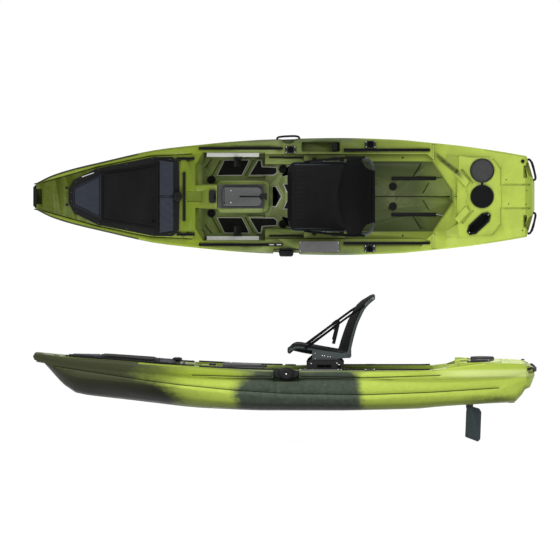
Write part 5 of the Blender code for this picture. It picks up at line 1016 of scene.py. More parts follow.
def carve_hull(sizes):
    """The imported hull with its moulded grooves, recesses, blocks and ridges."""
    hull = bpy.data.objects.new("hull_moulded", NODES["hull"].data.copy())
    bpy.context.scene.collection.objects.link(hull)
    finish = FINISHES["hull_plastic_two_greens"]
    set_tone_index(hull.data, finish, 0)
    cutters = []
    for name, add_shapes, operation, index in CARVINGS:
        form = bmesh.new()
        add_shapes(form, sizes)
        mesh = mesh_from(form, name)
        set_tone_index(mesh, finish, index)
        cutter = bpy.data.objects.new(name, mesh)
        bpy.context.scene.collection.objects.link(cutter)
        cutters.append(cutter)
        change = hull.modifiers.new(name, "BOOLEAN")
        change.operation = operation
        change.object = cutter
        change.solver = "EXACT"
        change.use_self = True
        change.material_mode = "INDEX"
    bpy.context.view_layer.update()
    mesh = bpy.data.meshes.new_from_object(hull.evaluated_get(bpy.context.evaluated_depsgraph_get()))
    hull.modifiers.clear()
    for cutter in cutters:
        bpy.data.objects.remove(cutter, do_unlink=True)
    hull.data = mesh
    # each face's share of painted shade, from the cutter that made it
    groove_shade = [GROOVE_SHADE_SHARES[face.material_index] for face in mesh.polygons]
    mesh.attributes.new("groove_shade", "FLOAT", "FACE").data.foreach_set("value", groove_shade)
    mesh.materials.clear()
    mesh.materials.append(finish)
    mesh.polygons.foreach_set("material_index", [0] * len(mesh.polygons))
    mesh.shade_smooth()
    mesh.set_sharp_from_angle(angle=math.radians(28))
    mark_inside(mesh)
    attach(hull, "hull")
    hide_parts("hull")


def mark_inside(mesh):
    """Face attribute that is 1 on the deck and in its wells, and 0 on the outer sides and bottom."""
    slice_length, rim_width, end = 0.12, 0.075, 1.80
    reach = {}
    for vert in mesh.vertices:
        key = round(vert.co.x / slice_length)
        reach[key] = max(reach.get(key, 0.0), abs(vert.co.y))
    values = []
    for face in mesh.polygons:
        centre, normal = face.center, face.normal
        key = centre.x / slice_length
        low, high = math.floor(key), math.ceil(key)
        half = reach.get(low, 0.3) + (reach.get(high, 0.3) - reach.get(low, 0.3)) * (key - low)
        outward = normal.y * centre.y > 0.0 and abs(centre.y) > half - rim_width
        down = normal.z < -0.15
        level = normal.z > 0.75 and centre.z > 0.10
        far_end = centre.x > end and normal.x > 0.3 or centre.x < -end and normal.x < -0.3
        side = (outward and not level) or down or far_end
        values.append(0.0 if side else 1.0)
    mesh.attributes.new("inside", "FLOAT", "FACE").data.foreach_set("value", values)


# Bow cover

def cover_sheet(name, corners, columns, rows, fold, soft, node):
    """Slate cloth between four corners given as (x front, x rear, half front, half rear)."""
    start, end, half_start, half_end = corners
    form = bmesh.new()

    def place(u, v):
        x = start + u * (end - start)
        y = (2 * v - 1) * (half_start + u * (half_end - half_start))
        base = cloth_floor(x)
        inside = min(1.0, 6 * u, 6 * (1 - u)) * min(1.0, 8 * v, 8 * (1 - v))
        return Vector((x, y, base + inside * fold(u, v) * soft.fold_height))

    add_sheet(form, columns, rows, place, lambda u, v: Vector((0, 0, -0.0022)))
    sheet = new_piece(name, form, "cover_cloth", "hull", 60)
    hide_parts(node)


def cloth_floor(x):
    """Height of the bow cloths over the cover frame."""
    return table_value(FRAME_TOPS, x) + 0.0038


FRAME_TOPS = []
SIDE_BAR = ((-1.60, 0.118), (-1.42, 0.205), (-1.00, 0.288), (-0.94, 0.290), (-0.86, 0.285), (-0.82, 0.20))


def measure_cover():
    """Heights of the cover frame's top along the bow, from its side bars."""
    FRAME_TOPS.clear()
    for x in (-1.60, -1.50, -1.42, -1.34, -1.20, -1.06, -0.94, -0.86, -0.82):
        FRAME_TOPS.append((x, top_of(x, table_value(SIDE_BAR, x), "bow_cover_frame")))


def front_folds(u, v):
    across = 2 * v - 1
    return 0.4 + 0.25 * noise.noise(Vector((u * 3, v * 4, 0.0))) + 0.15 * math.sin(7 * u + 4 * across)


def rear_folds(u, v):
    """Diagonal pull lines toward the corners, with a seam down the middle."""
    across = 2 * v - 1
    pull = math.sin(26 * abs(across) - 9 * u) * 0.35 * (0.4 + 0.6 * abs(across))
    slow = 0.5 * noise.noise(Vector((u * 2.5, v * 9, 3.0)))
    seam = -0.5 * math.exp(-(across / 0.018) ** 2)
    gather = 0.45 * math.sin(70 * v) * math.exp(-((u - 1.0) / 0.16) ** 2)
    return 0.55 + pull + slow + seam + gather


def add_seam(form, points, width):
    """Flat strip along points on a level cloth."""
    points = [Vector(point) for point in points]
    sideways = [Vector((0, 0, 1)).cross(along) for along in path_directions(points)]
    add_band(form, points, sideways, width, 0.0016)


def add_stitches(form, points):
    """Row of short threads along points."""
    length, gap, lift = 0.006, 0.005, 0.0012
    points = [Vector(point) for point in points]
    for a, b in zip(points, points[1:]):
        along = (b - a).normalized()
        for k in range(int((b - a).length / (length + gap))):
            start = a + along * (k * (length + gap)) + Vector((0, 0, lift))
            add_tube(form, [start, start + along * length], 0.0006, 4, material=1)


def seam_height(x):
    return cloth_floor(x) + 0.0016


def seam_across(form, x, half, width):
    add_seam(form, [(x, -half, seam_height(x)), (x, half, seam_height(x))], width)


def sew_bow_cover(soft):
    measure_cover()
    cover_sheet("bow_cloth_front", (-1.602, -1.394, 0.072, 0.172), 22, 26, front_folds, soft,
                "cover_cloth_front")
    cover_sheet("bow_cloth_rear", (-0.953, -0.835, 0.276, 0.260), 22, 72, rear_folds, soft,
                "cover_cloth_rear")
    form = bmesh.new()
    front = [(-1.597, 0.066), (-1.400, 0.164)]
    for _, side in SIDES:
        for inset in (0.0, 0.012):
            add_seam(form, [(x, side * (y - inset), seam_height(x)) for x, y in front], 0.004)
        add_stitches(form, [(x, side * (y - 0.006), seam_height(x)) for x, y in front])
    seam_across(form, -1.594, 0.066, 0.005)
    seam_across(form, -1.404, 0.160, 0.005)
    for x, inward in ((-0.949, 0.005), (-0.840, -0.005)):
        seam_across(form, x, 0.268, 0.006)
        add_stitches(form, [(x + inward, y, seam_height(x)) for y in (-0.262, 0.262)])
    for y in (-0.006, 0.006):
        ends = [(-0.946, y, seam_height(-0.94) + 0.001), (-0.843, y, seam_height(-0.85) + 0.001)]
        add_seam(form, ends, 0.003)
    new_piece("bow_cloth_seams", form, ("binding", "stitch_thread"), "hull")


def trim_bow_lid():
    """Piped edge and pull ring of the bow lid."""
    low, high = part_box("bow_lid")
    form = bmesh.new()
    for inset in (0.026, 0.040):
        outline = mirrored_outline([(low.x + inset, -0.160 + inset * 0.5), (high.x - inset, -0.236 + inset)])
        path = []
        for (ax, ay), (bx, by) in zip(outline, outline[1:] + outline[:1]):
            for k in range(8):
                x, y = ax + (bx - ax) * k / 8, ay + (by - ay) * k / 8
                path.append((x, y, top_of(x, y, "bow_lid") + 0.0006))
        add_tube(form, path, 0.0013, 6, closed=True)
    x, y = high.x - 0.033, -0.185
    ring = level_ring(x, y, top_of(x - 0.02, y, "bow_lid") + 0.001, 0.0155)
    add_tube(form, ring, 0.0024, 8, closed=True)
    new_piece("bow_lid_trim", form, "black_plastic", "bow_lid")


# Foam pads

PAD_OUTLINES = {
    "front": [(-0.5172, 0.1558), (-0.3181, 0.1573), (-0.2574, 0.2817), (-0.4578, 0.2802)],
    "middle": [(-0.2733, 0.1577), (-0.0781, 0.1593), (-0.0491, 0.1819), (-0.0557, 0.2240), (-0.1660, 0.2298),
               (-0.1730, 0.2798), (-0.2007, 0.2796)],
}
INNER_PAD = ((-0.0134, 0.0990), (0.0175, 0.0300), (0.300, 0.0300), (0.300, 0.0990))
CHEVRON_ARC = (-0.144, 0.0907)
SEAT_FLOOR = 0.125
PAD_THICKNESS = 0.0060
PALE_EDGE = 0.0072


def lay_pad(name, outline, floor, node=None):
    """Pale base layer with the black foam inset on it."""
    form = bmesh.new()
    base = rounded_outline(outline, 0.005, 3)
    top = rounded_outline(grown_outline(outline, -PALE_EDGE), 0.003, 3)
    add_plate(form, base, floor + 0.0003, floor + PAD_THICKNESS * 0.62, 0.0006, material=1)
    add_plate(form, top, floor + PAD_THICKNESS * 0.5, floor + PAD_THICKNESS, 0.0006, material=0)
    pad = new_piece(name, form, ("deck_foam", "foam_edge"), "hull")
    if node:
        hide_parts(node)


def lay_pads():
    for label, side in SIDES:
        for kind, points in PAD_OUTLINES.items():
            node = f"foam_pad_{kind}_{label}"
            lay_pad(node + "_layered", on_side(points, side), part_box(node)[0].z - 0.0003, node)
        low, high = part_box("scupper_plug_seat_" + label)
        plug = (low + high) / 2
        ring = [(plug.x + 0.046 * math.cos(a), abs(plug.y) + 0.046 * math.sin(a))
                for a in (math.radians(42 - 12 * k) for k in range(13))]
        rear = ring + [(-0.030, 0.1535), (0.300, 0.1535), (0.300, 0.2385)]
        lay_pad("foam_pad_rear_" + label, on_side(rear, side), SEAT_FLOOR)
        lay_pad("foam_pad_inner_" + label, on_side(INNER_PAD, side), SEAT_FLOOR)
    centre, radius = CHEVRON_ARC
    arc = [(centre + radius * math.cos(a), radius * math.sin(a))
           for a in (math.radians(61 - 122 * k / 14) for k in range(15))]
    outline = [(-0.060, -0.0800), (-0.0165, 0.0), (-0.060, 0.0800)] + arc
    lay_pad("foam_pad_centre_layered", outline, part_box("foam_pad_centre")[0].z - 0.0003, "foam_pad_centre")


# Seat

SEAT_LINE = ((0.040, 0.060, 0.447), (0.040, 0.150, 0.447), (0.048, 0.225, 0.455), (0.075, 0.250, 0.476),
             (0.120, 0.250, 0.484), (0.300, 0.250, 0.452), (0.440, 0.250, 0.428), (0.470, 0.240, 0.423),
             (0.485, 0.215, 0.419), (0.488, 0.160, 0.418), (0.488, 0.060, 0.418))
BACK_LINE = ((0.430, 0.488), (0.514, 0.505), (0.601, 0.527), (0.671, 0.549), (0.719, 0.570), (0.781, 0.601),
             (0.820, 0.634), (0.853, 0.676))
TUBE_RADIUS = 0.0125
SEAT_FRONT, SEAT_REAR = 0.040, 0.488
FRONT_TUBE_HEIGHT, REAR_TUBE_HEIGHT = 0.447, 0.418


def closest_on(path, x, y):
    """Distance in plan from a point to a closed path, and the path's height there."""
    here = Vector((x, y))
    best = (9.0, 0.0)
    for a, b in zip(path, path[1:] + path[:1]):
        first, last = Vector((a[0], a[1])), Vector((b[0], b[1]))
        span = last - first
        t = min(max((here - first).dot(span) / max(span.length_squared, 1e-12), 0.0), 1.0)
        gap = (here - first.lerp(last, t)).length
        if gap < best[0]:
            best = (gap, a[2] + (b[2] - a[2]) * t)
    return best


SEAT_SIDE_HEIGHTS = ((0.040, 0.447), (0.048, 0.455), (0.075, 0.476), (0.120, 0.484), (0.300, 0.452),
                     (0.440, 0.428), (0.488, 0.418))
SEAT_REACH = ((0.040, 0.150), (0.048, 0.225), (0.075, 0.250), (0.440, 0.250), (0.470, 0.240), (0.488, 0.160))


def seat_level(x, y, sag):
    """Height that the stretched cloth takes over the tubes' centre lines."""
    along = min(max((x - SEAT_FRONT) / (SEAT_REAR - SEAT_FRONT), 0.0), 1.0)
    share = min(abs(y) / table_value(SEAT_REACH, x), 1.0)
    level = FRONT_TUBE_HEIGHT + (REAR_TUBE_HEIGHT - FRONT_TUBE_HEIGHT) * along
    middle = level - sag * math.sin(math.pi * along) ** 0.8
    return middle + (table_value(SEAT_SIDE_HEIGHTS, x) - middle) * (0.25 * share ** 2 + 0.75 * share ** 5)


def sew_seat(soft):
    """Seat cloth stretched over its tubes, with a bound edge."""
    half = [Vector(point) for point in SEAT_LINE]
    loop = smooth_points(half + [Vector((p.x, -p.y, p.z)) for p in reversed(half)], 2, closed=True)
    wrap = TUBE_RADIUS * 0.62
    front, rear = SEAT_FRONT - wrap, SEAT_REAR + wrap
    outer = ((front, 0.170), (0.036, 0.205), (0.044, 0.234), (0.060, 0.2520), (0.090, 0.2582),
             (0.440, 0.2582), (0.470, 0.248), (0.485, 0.224), (rear, 0.165))
    cover = TUBE_RADIUS + 0.0005 + soft.cloth_thickness

    def height(x, y):
        if SEAT_FRONT < x < SEAT_REAR and abs(y) < table_value(SEAT_REACH, x):
            return seat_level(x, y, soft.seat_sag) + cover
        gap, level = closest_on(loop, x, y)
        return level + math.sqrt(max(cover ** 2 - gap ** 2, 0.0))

    def place(u, v):
        eased = 0.5 - 0.5 * math.cos(math.pi * u)
        x = front + (rear - front) * eased * 0.5 + (rear - front) * u * 0.5
        across = 2 * v - 1
        y = math.copysign(abs(across) ** 0.85, across) * table_value(outer, x)
        return Vector((x, y, height(x, y)))

    form = bmesh.new()
    add_sheet(form, 40, 48, place, lambda u, v: Vector((0, 0, -soft.cloth_thickness)))
    cloth = new_piece("seat_cloth", form, "seat_cloth", "seat", 60)
    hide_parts("seat_mesh")
    form = bmesh.new()
    for _, side in SIDES:
        line = [place(0.08 + 0.84 * k / 24, 0.5 + side * 0.4925) + Vector((0, 0, 0.0006)) for k in range(25)]
        add_band(form, line, Vector((0, 1, -0.6 * side)), 0.009, 0.0012)
    for u, width in ((0.012, 0.012), (0.075, 0.005), (0.988, 0.012)):
        line = [place(u, 0.04 + 0.92 * k / 30) + Vector((0, 0, 0.0005)) for k in range(31)]
        add_band(form, line, Vector((1, 0, 0)), width, 0.0012)
    sleeve = [(SEAT_FRONT, y, FRONT_TUBE_HEIGHT + max(abs(y) - 0.15, 0.0) * 0.11)
              for y in (-0.188, -0.150, -0.075, 0.0, 0.075, 0.150, 0.188)]
    add_tube(form, sleeve, cover + 0.0012, 18)
    new_piece("seat_binding", form, "binding", "seat")


def back_point(share):
    """Centre of the back post at a share of its length, and the way it faces."""
    heights = [Vector((x, 0, z)) for z, x in BACK_LINE]
    lengths = [0.0]
    for a, b in zip(heights, heights[1:]):
        lengths.append(lengths[-1] + (b - a).length)
    reach = share * lengths[-1]
    for i in range(len(heights) - 1):
        if reach <= lengths[i + 1] or i == len(heights) - 2:
            t = (reach - lengths[i]) / (lengths[i + 1] - lengths[i])
            point = heights[i].lerp(heights[i + 1], t)
            along = (heights[min(i + 2, len(heights) - 1)] - heights[max(i - 1 + (t > 0.5), 0)]).normalized()
            return point, Vector((-along.z, 0, along.x)), lengths[-1]
    return heights[-1], Vector((-1, 0, 0)), lengths[-1]


def cloth_share(u):
    """Share of the back post's length at a share of the back cloth's."""
    return 0.05 + 0.95 * u


def sew_back(soft):
    """Back cloth stretched over its hoop, with its upper corners cut away."""
    post_y = 0.2815
    edge_y = post_y + 0.008
    low_bulge, high_bulge = 0.070, 0.036
    total = back_point(0)[2]
    cover = TUBE_RADIUS + 0.0006 + soft.cloth_thickness

    def half_width(s):
        return table_value(((0.0, edge_y), (0.74, edge_y), (0.92, 0.215), (1.0, 0.200)), s)

    def place(u, v):
        s = cloth_share(u)
        centre, facing, _ = back_point(s)
        across = 2 * v - 1
        y = across * half_width(s)
        side_gap = abs(abs(y) - post_y)
        if abs(y) >= post_y:
            out = math.sqrt(max(cover ** 2 - side_gap ** 2, 0.0))
            bulge = 0.0
        else:
            out = cover
            bulge = (low_bulge + (high_bulge - low_bulge) * s) * (1 - (y / post_y) ** 2) ** 1.15
            bulge *= 1 - max(0.0, (s - 0.80) / 0.20) ** 2 * 0.85
        top = max(0.0, s * total - (total - 0.004))
        return centre + facing * out + Vector((-bulge, y, 0)) + Vector((0, 0, -top * 0.5))

    form = bmesh.new()
    add_sheet(form, 34, 44, place, lambda u, v: back_point(cloth_share(u))[1] * -soft.cloth_thickness)
    top_point = back_point(1.0)[0]
    cloth = new_piece("back_cloth", form, "back_cloth", "backrest", 60)
    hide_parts("back_mesh")
    form = bmesh.new()
    for v in (0.012, 0.988):
        line = [place(u, v) + back_point(cloth_share(u))[1] * 0.0007
                for u in (0.02 + 0.96 * k / 30 for k in range(31))]
        add_band(form, line, Vector((0, 1, 0)), 0.012, 0.0012)
    for u in (0.016, 0.985):
        facing = back_point(cloth_share(u))[1]
        line = [place(u, 0.01 + 0.98 * k / 36) + facing * 0.0007 for k in range(37)]
        up = Vector((facing.z, 0, -facing.x))
        add_band(form, line, up, 0.014, 0.0012)
    sleeve = [(top_point.x, y, top_point.z) for y in (-0.198, -0.1, 0.0, 0.1, 0.198)]
    add_tube(form, sleeve, TUBE_RADIUS + 0.0018, 18)
    binding = new_piece("back_binding", form, "binding", "backrest")
    for piece in (cloth, binding):
        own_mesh(piece)


STRAP_LINE = ((0.160, 0.2632, 0.476), (0.180, 0.2645, 0.492), (0.330, 0.2800, 0.604),
              (0.4965, 0.2944, 0.728), (0.560, 0.2944, 0.768), (0.602, 0.2944, 0.794))
TAIL_START = (0.410, 0.2905, 0.662)
BUCKLE_X = 0.378
STRAP_TAIL = ((0.0, 0.0, 0.0), (-0.006, 0.004, -0.022), (-0.017, 0.005, -0.070), (-0.036, 0.004, -0.148))


def strap_width(side, turn):
    """Direction of the strap's width, turned about the strap from upright toward the side."""
    return Vector((-0.6 * math.cos(turn), side * math.sin(turn), 0.8 * math.cos(turn)))


def add_buckle(form, middle, along, wide, side, length):
    """Ladder buckle on the outer face of a strap."""
    across = (wide - along * wide.dot(along)).normalized()
    out = along.cross(across)
    out = out * (side * (1 if out.y > 0 else -1))
    size = length / 2
    for offset in (-size, -size * 0.25, size * 0.8):
        bar = middle + along * offset + out * 0.003
        add_tube(form, [bar - across * 0.016, bar + across * 0.016], 0.0026, 8)
    for edge in (-1, 1):
        side_bar = middle + across * (0.0165 * edge) + out * 0.0025
        add_tube(form, [side_bar - along * size, side_bar + along * size * 0.8], 0.003, 8)


def fit_straps(fittings):
    """Webbing straps from the seat to the back hoop, with buckles and hanging tails."""
    for label, side in SIDES:
        path = smooth_points([(x, side * (y + 0.0013), z) for x, y, z in STRAP_LINE], 6)
        shares = [min(k / (len(path) * 0.55), 1.0) for k in range(len(path))]
        wide = [strap_width(side, fittings.strap_turn * math.sin(math.pi * share / 2)) for share in shares]
        form = bmesh.new()
        add_band(form, path, wide, 0.025, 0.0022)
        end = [path[-1] + Vector((-0.004, 0, 0)), path[-1] + Vector((0.012, -0.002 * side, 0.010))]
        add_band(form, end, wide[-1], 0.030, 0.004)
        start = Vector((TAIL_START[0], side * TAIL_START[1], TAIL_START[2]))
        tail = [start + Vector((x, y * side, z)) for x, y, z in STRAP_TAIL]
        add_band(form, smooth_points(tail, 5), Vector((1, 0, 0.2)), 0.025, 0.0018)
        strap = new_piece("back_strap_webbing_" + label, form, "webbing")
        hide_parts("back_strap_" + label)
        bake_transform(strap)
        form = bmesh.new()
        at = min(range(len(path)), key=lambda k: abs(path[k].x - BUCKLE_X))
        along = (path[at + 1] - path[at]).normalized()
        add_buckle(form, path[at], along, wide[at], side, fittings.buckle_length)
        buckle = new_piece("strap_buckle_" + label, form, "black_plastic")
        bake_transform(buckle)


# Fasteners and small parts

COVER_SCREWS = ((-1.584, 0.112), (-1.411, 0.205), (-1.005, 0.290), (-0.870, 0.283), (-1.200, 0.244))
BRACKET_SCREWS = ((-0.562, 0.034), (-0.527, 0.034))
TRACK_SCREWS = (("gear_track_front_", 0.3588, (-0.633, -0.443, -0.245, -0.116)),
                ("gear_track_rear_", 0.3468, (0.475, 0.640, 0.800, 0.960, 1.085)),
                ("gear_track_bow_", 0.281, (-0.803, -0.697)))
PLATE_SCREWS = ((0.290, 0.423), (0.306, 0.421), (0.331, 0.4146), (0.350, 0.412), (0.235, 0.440),
                (0.235, 0.400))
BASE_SCREWS = ((0.2124, 0.3156), (0.433, 0.3156), (0.205, 0.362), (0.400, 0.365))
SOCKET_BASES = ("starboard_front", "starboard_rear", "port_rear")


def add_screws_on(form, places, node, radius):
    for x, y in places:
        add_screw(form, (x, y, top_of(x, y, node)), (0, 0, 1), radius)


def inset_corners(low, high, inset):
    return [(x, y) for x in (low.x + inset, high.x - inset) for y in (low.y + inset, high.y - inset)]


def add_coated_screws(form, big, small):
    """Coated screws of the bow cover, the lock bracket and the tracks."""
    for _, side in SIDES:
        add_screws_on(form, on_side(COVER_SCREWS, side), "bow_cover_frame", big)
        add_screws_on(form, on_side(BRACKET_SCREWS, side), "drive_lock_bracket", big * 0.8)
    add_screws_on(form, [(-1.618, 0.031), (-1.618, -0.034)], "bow_cover_frame", big)
    for label, side in SIDES:
        for track, y, places in TRACK_SCREWS:
            add_screws_on(form, [(x, side * y) for x in places], track + label, small * 0.8)
    add_screws_on(form, [(-0.7528, y) for y in (-0.155, 0.0, 0.155)], "gear_track_cross", small * 0.8)


def add_hub_screws(form, big, small):
    low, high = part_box("cover_hub")
    centre = (low + high) / 2
    for k in range(4):
        a = math.pi / 4 + k * math.pi / 2
        place = (centre.x + 0.018 * math.cos(a), centre.y + 0.018 * math.sin(a))
        add_screws_on(form, [place], "cover_hub", small * 0.8)


def add_deck_screws(form, big, small):
    """Steel screws of the accessory bases, the side plate and the rod pocket."""
    for name in SOCKET_BASES:
        low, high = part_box("accessory_base_" + name)
        add_screws_on(form, inset_corners(low, high, 0.0078), "accessory_base_" + name, small * 1.2)
    low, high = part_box("side_plate_port")
    add_screws_on(form, inset_corners(low, high, 0.010), "side_plate_port", small)
    add_screws_on(form, [(1.5507, -0.1392), (1.4073, -0.2728)], "rod_pocket", small)


def add_plug_screws(form, big, small):
    add_screws_on(form, [(-0.406, 0.045), (-0.406, -0.045)], "drive_plug", big)


def add_seat_screws(form, big, small):
    """Screws of the seat's side plates and bases, on both sides."""
    for _, side in SIDES:
        for places, y, radius in ((PLATE_SCREWS, 0.2675, small), (BASE_SCREWS, 0.2604, big)):
            for x, z in places:
                add_screw(form, (x, y * side, z), (0, side, 0), radius)


def add_knob_screw(form, big, small):
    low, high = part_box("steering_knob")
    add_screw(form, ((low.x + high.x) / 2, low.y, (low.z + high.z) / 2), (0, -1, 0), big * 1.4)


DECK_DIMPLES = ((1.6872, 0.1270), (1.8428, 0.0452), (1.7043, -0.0574), (1.8362, -0.0603), (1.8098, -0.2583))
PLUG_PROFILE = ((0.0300, 0.0), (0.0300, 0.005), (0.026, 0.0085), (0.014, 0.0085), (0.012, 0.0125),
                (0.003, 0.0125))
STUD_PROFILE = ((0.0045, 0.0), (0.0045, 0.0008), (0.0030, 0.0018), (0.0008, 0.0018))
BUTTON_PROFILE = ((0.006, 0.0), (0.006, 0.003), (0.004, 0.004), (0.001, 0.004))
STERN_GRIP = ((1.8800, 0.2640, 0.3290), (1.8925, 0.2281, 0.3225), (1.9004, 0.1907, 0.3161),
              (1.9070, 0.1616, 0.3100), (1.9085, 0.1450, 0.3045))


def add_turned(form, x, y, floor, profile, sides):
    """Form round an upright axis from a profile of (radius, height)."""
    skin_rings(form, [level_ring(x, y, floor + height, radius, sides) for radius, height in profile])


def add_grips(form):
    """Thick moulded grips round the bow and stern handles."""
    bow = [(-1.8935, y, 0.4036) for y in (-0.074, -0.050, -0.025, 0.0, 0.025, 0.050, 0.074)]
    add_band(form, bow, Vector((1, 0, 0.15)), 0.030, 0.0165)
    for _, side in SIDES:
        stern = smooth_points([(x, y * side, z) for x, y, z in STERN_GRIP], 4)
        add_tube(form, stern, 0.0085, 12)


def add_plugs(form):
    """Scupper plugs behind the seat and the small plugs of the stern deck."""
    for _, side in SIDES:
        add_turned(form, 0.826, 0.075 * side, 0.1703, PLUG_PROFILE, 24)
    for x, y in DECK_DIMPLES:
        add_turned(form, x, y, top_of(x, y), STUD_PROFILE, 12)


def add_tab(form, x, y, front, rear, half, height, chamfer):
    z = top_of(x, y)
    add_box(form, (x - front, y - half, z + 0.0002), (x + rear, y + half, z + height), chamfer)


def add_bumper(form, x, side, width, depth):
    """Rubber block in a notch of the rack beside the seat, narrower outward."""
    reach = width * 0.52
    low_y, high_y = sorted((0.2640 * side, (0.2640 + depth) * side))
    low_half, high_half = (reach, reach * 0.7) if side > 0 else (reach * 0.7, reach)
    outline = [(x - low_half, low_y), (x + low_half, low_y),
               (x + high_half, high_y), (x - high_half, high_y)]
    add_plate(form, rounded_outline(outline, 0.006), SEAT_LEDGE + 0.0003, SEAT_LEDGE + 0.0135, 0.0015)


def add_tabs(form):
    """Strap tabs, rack bumpers and rail inserts on the deck, and the sockets' rings."""
    for _, side in SIDES:
        add_tab(form, -1.652, 0.065 * side, 0.010, 0.011, 0.007, 0.006, 0.002)
        for x, width, depth in RACK_NOTCHES:
            add_bumper(form, x, side, width, depth)
        low_y, high_y = sorted((0.2900 * side, 0.3030 * side))
        insert = rounded_outline(box_outline(-0.115, low_y, 0.142, high_y), 0.005)
        add_plate(form, insert, SEAT_LEDGE + 0.0003, SEAT_LEDGE + 0.0032, 0.001)
        for x in (0.498, 0.900):
            y = 0.295 * side
            add_turned(form, x, y, top_of(x, y), BUTTON_PROFILE, 16)
    add_tab(form, 1.5035, 0.099, 0.008, 0.008, 0.010, 0.005, 0.0015)
    for name in SOCKET_BASES:
        low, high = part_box("accessory_base_" + name)
        x, y = (low.x + high.x) / 2, (low.y + high.y) / 2
        z = top_of(x + 0.0185, y, "accessory_base_" + name)
        add_tube(form, level_ring(x, y, z + 0.0008, 0.0185, 28), 0.0022, 8, closed=True)


def add_rail_caps(form):
    """Fore ends of the foot rails."""
    for label, _ in SIDES:
        low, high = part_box("foot_rail_" + label)
        add_box(form, (low.x - 0.016, low.y, low.z - 0.001),
                (low.x - 0.0004, high.y - 0.001, high.z + 0.001), 0.002)


def add_tray_block(form):
    add_box(form, (0.366, 0.346, 0.2714), (0.402, 0.408, 0.3165), 0.004)


def add_track_slides(form):
    y = -0.366
    for x in (-0.096, -0.040):
        z = top_of(x, y, "gear_track_front_port") + 0.0016
        add_band(form, [(x - 0.018, y, z), (x + 0.018, y, z)], Vector((0, 1, 0)), 0.007, 0.0024)


def add_cover_piping(form):
    """White strip along the edge of the bow cover."""
    strip = [(-1.5388 + 0.0923 * k / 4, 0.1480 + 0.0337 * k / 4) for k in range(5)]
    path = [(x, y, top_of(x, y, "bow_cover_frame") + 0.0009) for x, y in strip]
    add_band(form, path, Vector((0.34, -0.94, 0)), 0.006, 0.0014)


SCREW_SETS = (("coated_screws", add_coated_screws, "dark_screw", "hull", "black_plastic"),
              ("hub_screws", add_hub_screws, "dark_screw", "cover_hub", "black_plastic"),
              ("deck_screws", add_deck_screws, "stainless_steel", "hull", None),
              ("plug_screws", add_plug_screws, "stainless_steel", "drive_plug", None),
              ("seat_screws", add_seat_screws, "stainless_steel", "seat", None),
              ("knob_screw", add_knob_screw, "stainless_steel", "steering_knob", None))
SMALL_PARTS = (("handle_grips", add_grips, "black_plastic", "black_plastic"),
               ("deck_plugs", add_plugs, "dark_rubber", "black_plastic"),
               ("deck_tabs", add_tabs, "black_plastic", "black_plastic"),
               ("foot_rail_caps", add_rail_caps, "black_plastic", "black_plastic"),
               ("tray_block", add_tray_block, "black_plastic", "black_plastic"),
               ("track_slides", add_track_slides, "stainless_steel", None),
               ("cover_piping", add_cover_piping, "cord_white", "webbing"))


def drive_screws(fittings):
    for name, add_shapes, finish, body, slot in SCREW_SETS:
        form = bmesh.new()
        add_shapes(form, fittings.screw_radius, fittings.small_screw_radius)
        new_piece(name, form, finish, body)


def fit_small_parts():
    """Parts fixed to the hull that the solids leave out."""
    for name, add_shapes, finish, slot in SMALL_PARTS:
        form = bmesh.new()
        add_shapes(form)
        new_piece(name, form, finish, "hull")


def lay_strip_cords():
    """Short free ends of the cords in the two tankwell strips."""
    step, count = 0.0042, 15
    for label, side, finish in (("port", -1, "cord_white"), ("starboard", 1, "cord_olive")):
        low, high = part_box("tankwell_strip_" + label)
        start = Vector((high.x + 0.0003, (low.y + high.y) / 2, 0.1728))
        path = [start]
        for k in range(count):
            heading = side * 0.30 * math.sin(1.5 * math.pi * k / count)
            path.append(path[-1] + Vector((math.cos(heading), math.sin(heading), 0.0)) * step)
        form = bmesh.new()
        add_tube(form, path, 0.00225, 10)
        cord = new_piece("strip_cord_" + label, form, finish, "hull")


# Studio

CAMERA_DISTANCE = 28.0
MIRROR_DISTANCE = 50.0
MIRROR_HEIGHT = 1.6177
MIRROR_SLOPE = math.radians(66.0)
MIRROR_HALF_WIDTH = 2.3
FLOOR_GAP = 0.0015


def stage_object(name, corners, material):
    """Flat piece of the studio between its corners."""
    form = bmesh.new()
    form.faces.new([form.verts.new(corner) for corner in corners])
    mesh = bpy.data.meshes.new(name)
    form.to_mesh(mesh)
    form.free()
    item = bpy.data.objects.new(name, mesh)
    bpy.context.scene.collection.objects.link(item)
    mesh.materials.append(material)


def stage_material(name, colour, roughness):
    material = bpy.data.materials.new(name)
    material.use_nodes = True
    shader = material.node_tree.nodes["Principled BSDF"]
    shader.inputs["Base Color"].default_value = colour
    shader.inputs["Roughness"].default_value = roughness
    return material, material.node_tree, shader


def plain_share(tree):
    """1 where the studio shows as plain white, 0 where it only lights the kayak."""
    seen = fields(tree, add_node(tree, "ShaderNodeLightPath").outputs)
    direct = seen["Is Camera Ray"].combined("MAXIMUM", seen["Is Glossy Ray"])
    return direct.combined("MAXIMUM", seen["Is Transmission Ray"])


def set_sky(studio):
    world = bpy.data.worlds.new("studio_sky")
    bpy.context.scene.world = world
    world.use_nodes = True
    tree = world.node_tree
    tree.nodes.clear()
    strength = plain_share(tree) * (1.0 - studio.sky_strength) + studio.sky_strength
    sky = add_node(tree, "ShaderNodeBackground", {"Color": (1, 1, 1, 1), "Strength": strength})
    out = tree.nodes.new("ShaderNodeOutputWorld")
    tree.links.new(sky.outputs[0], out.inputs[0])


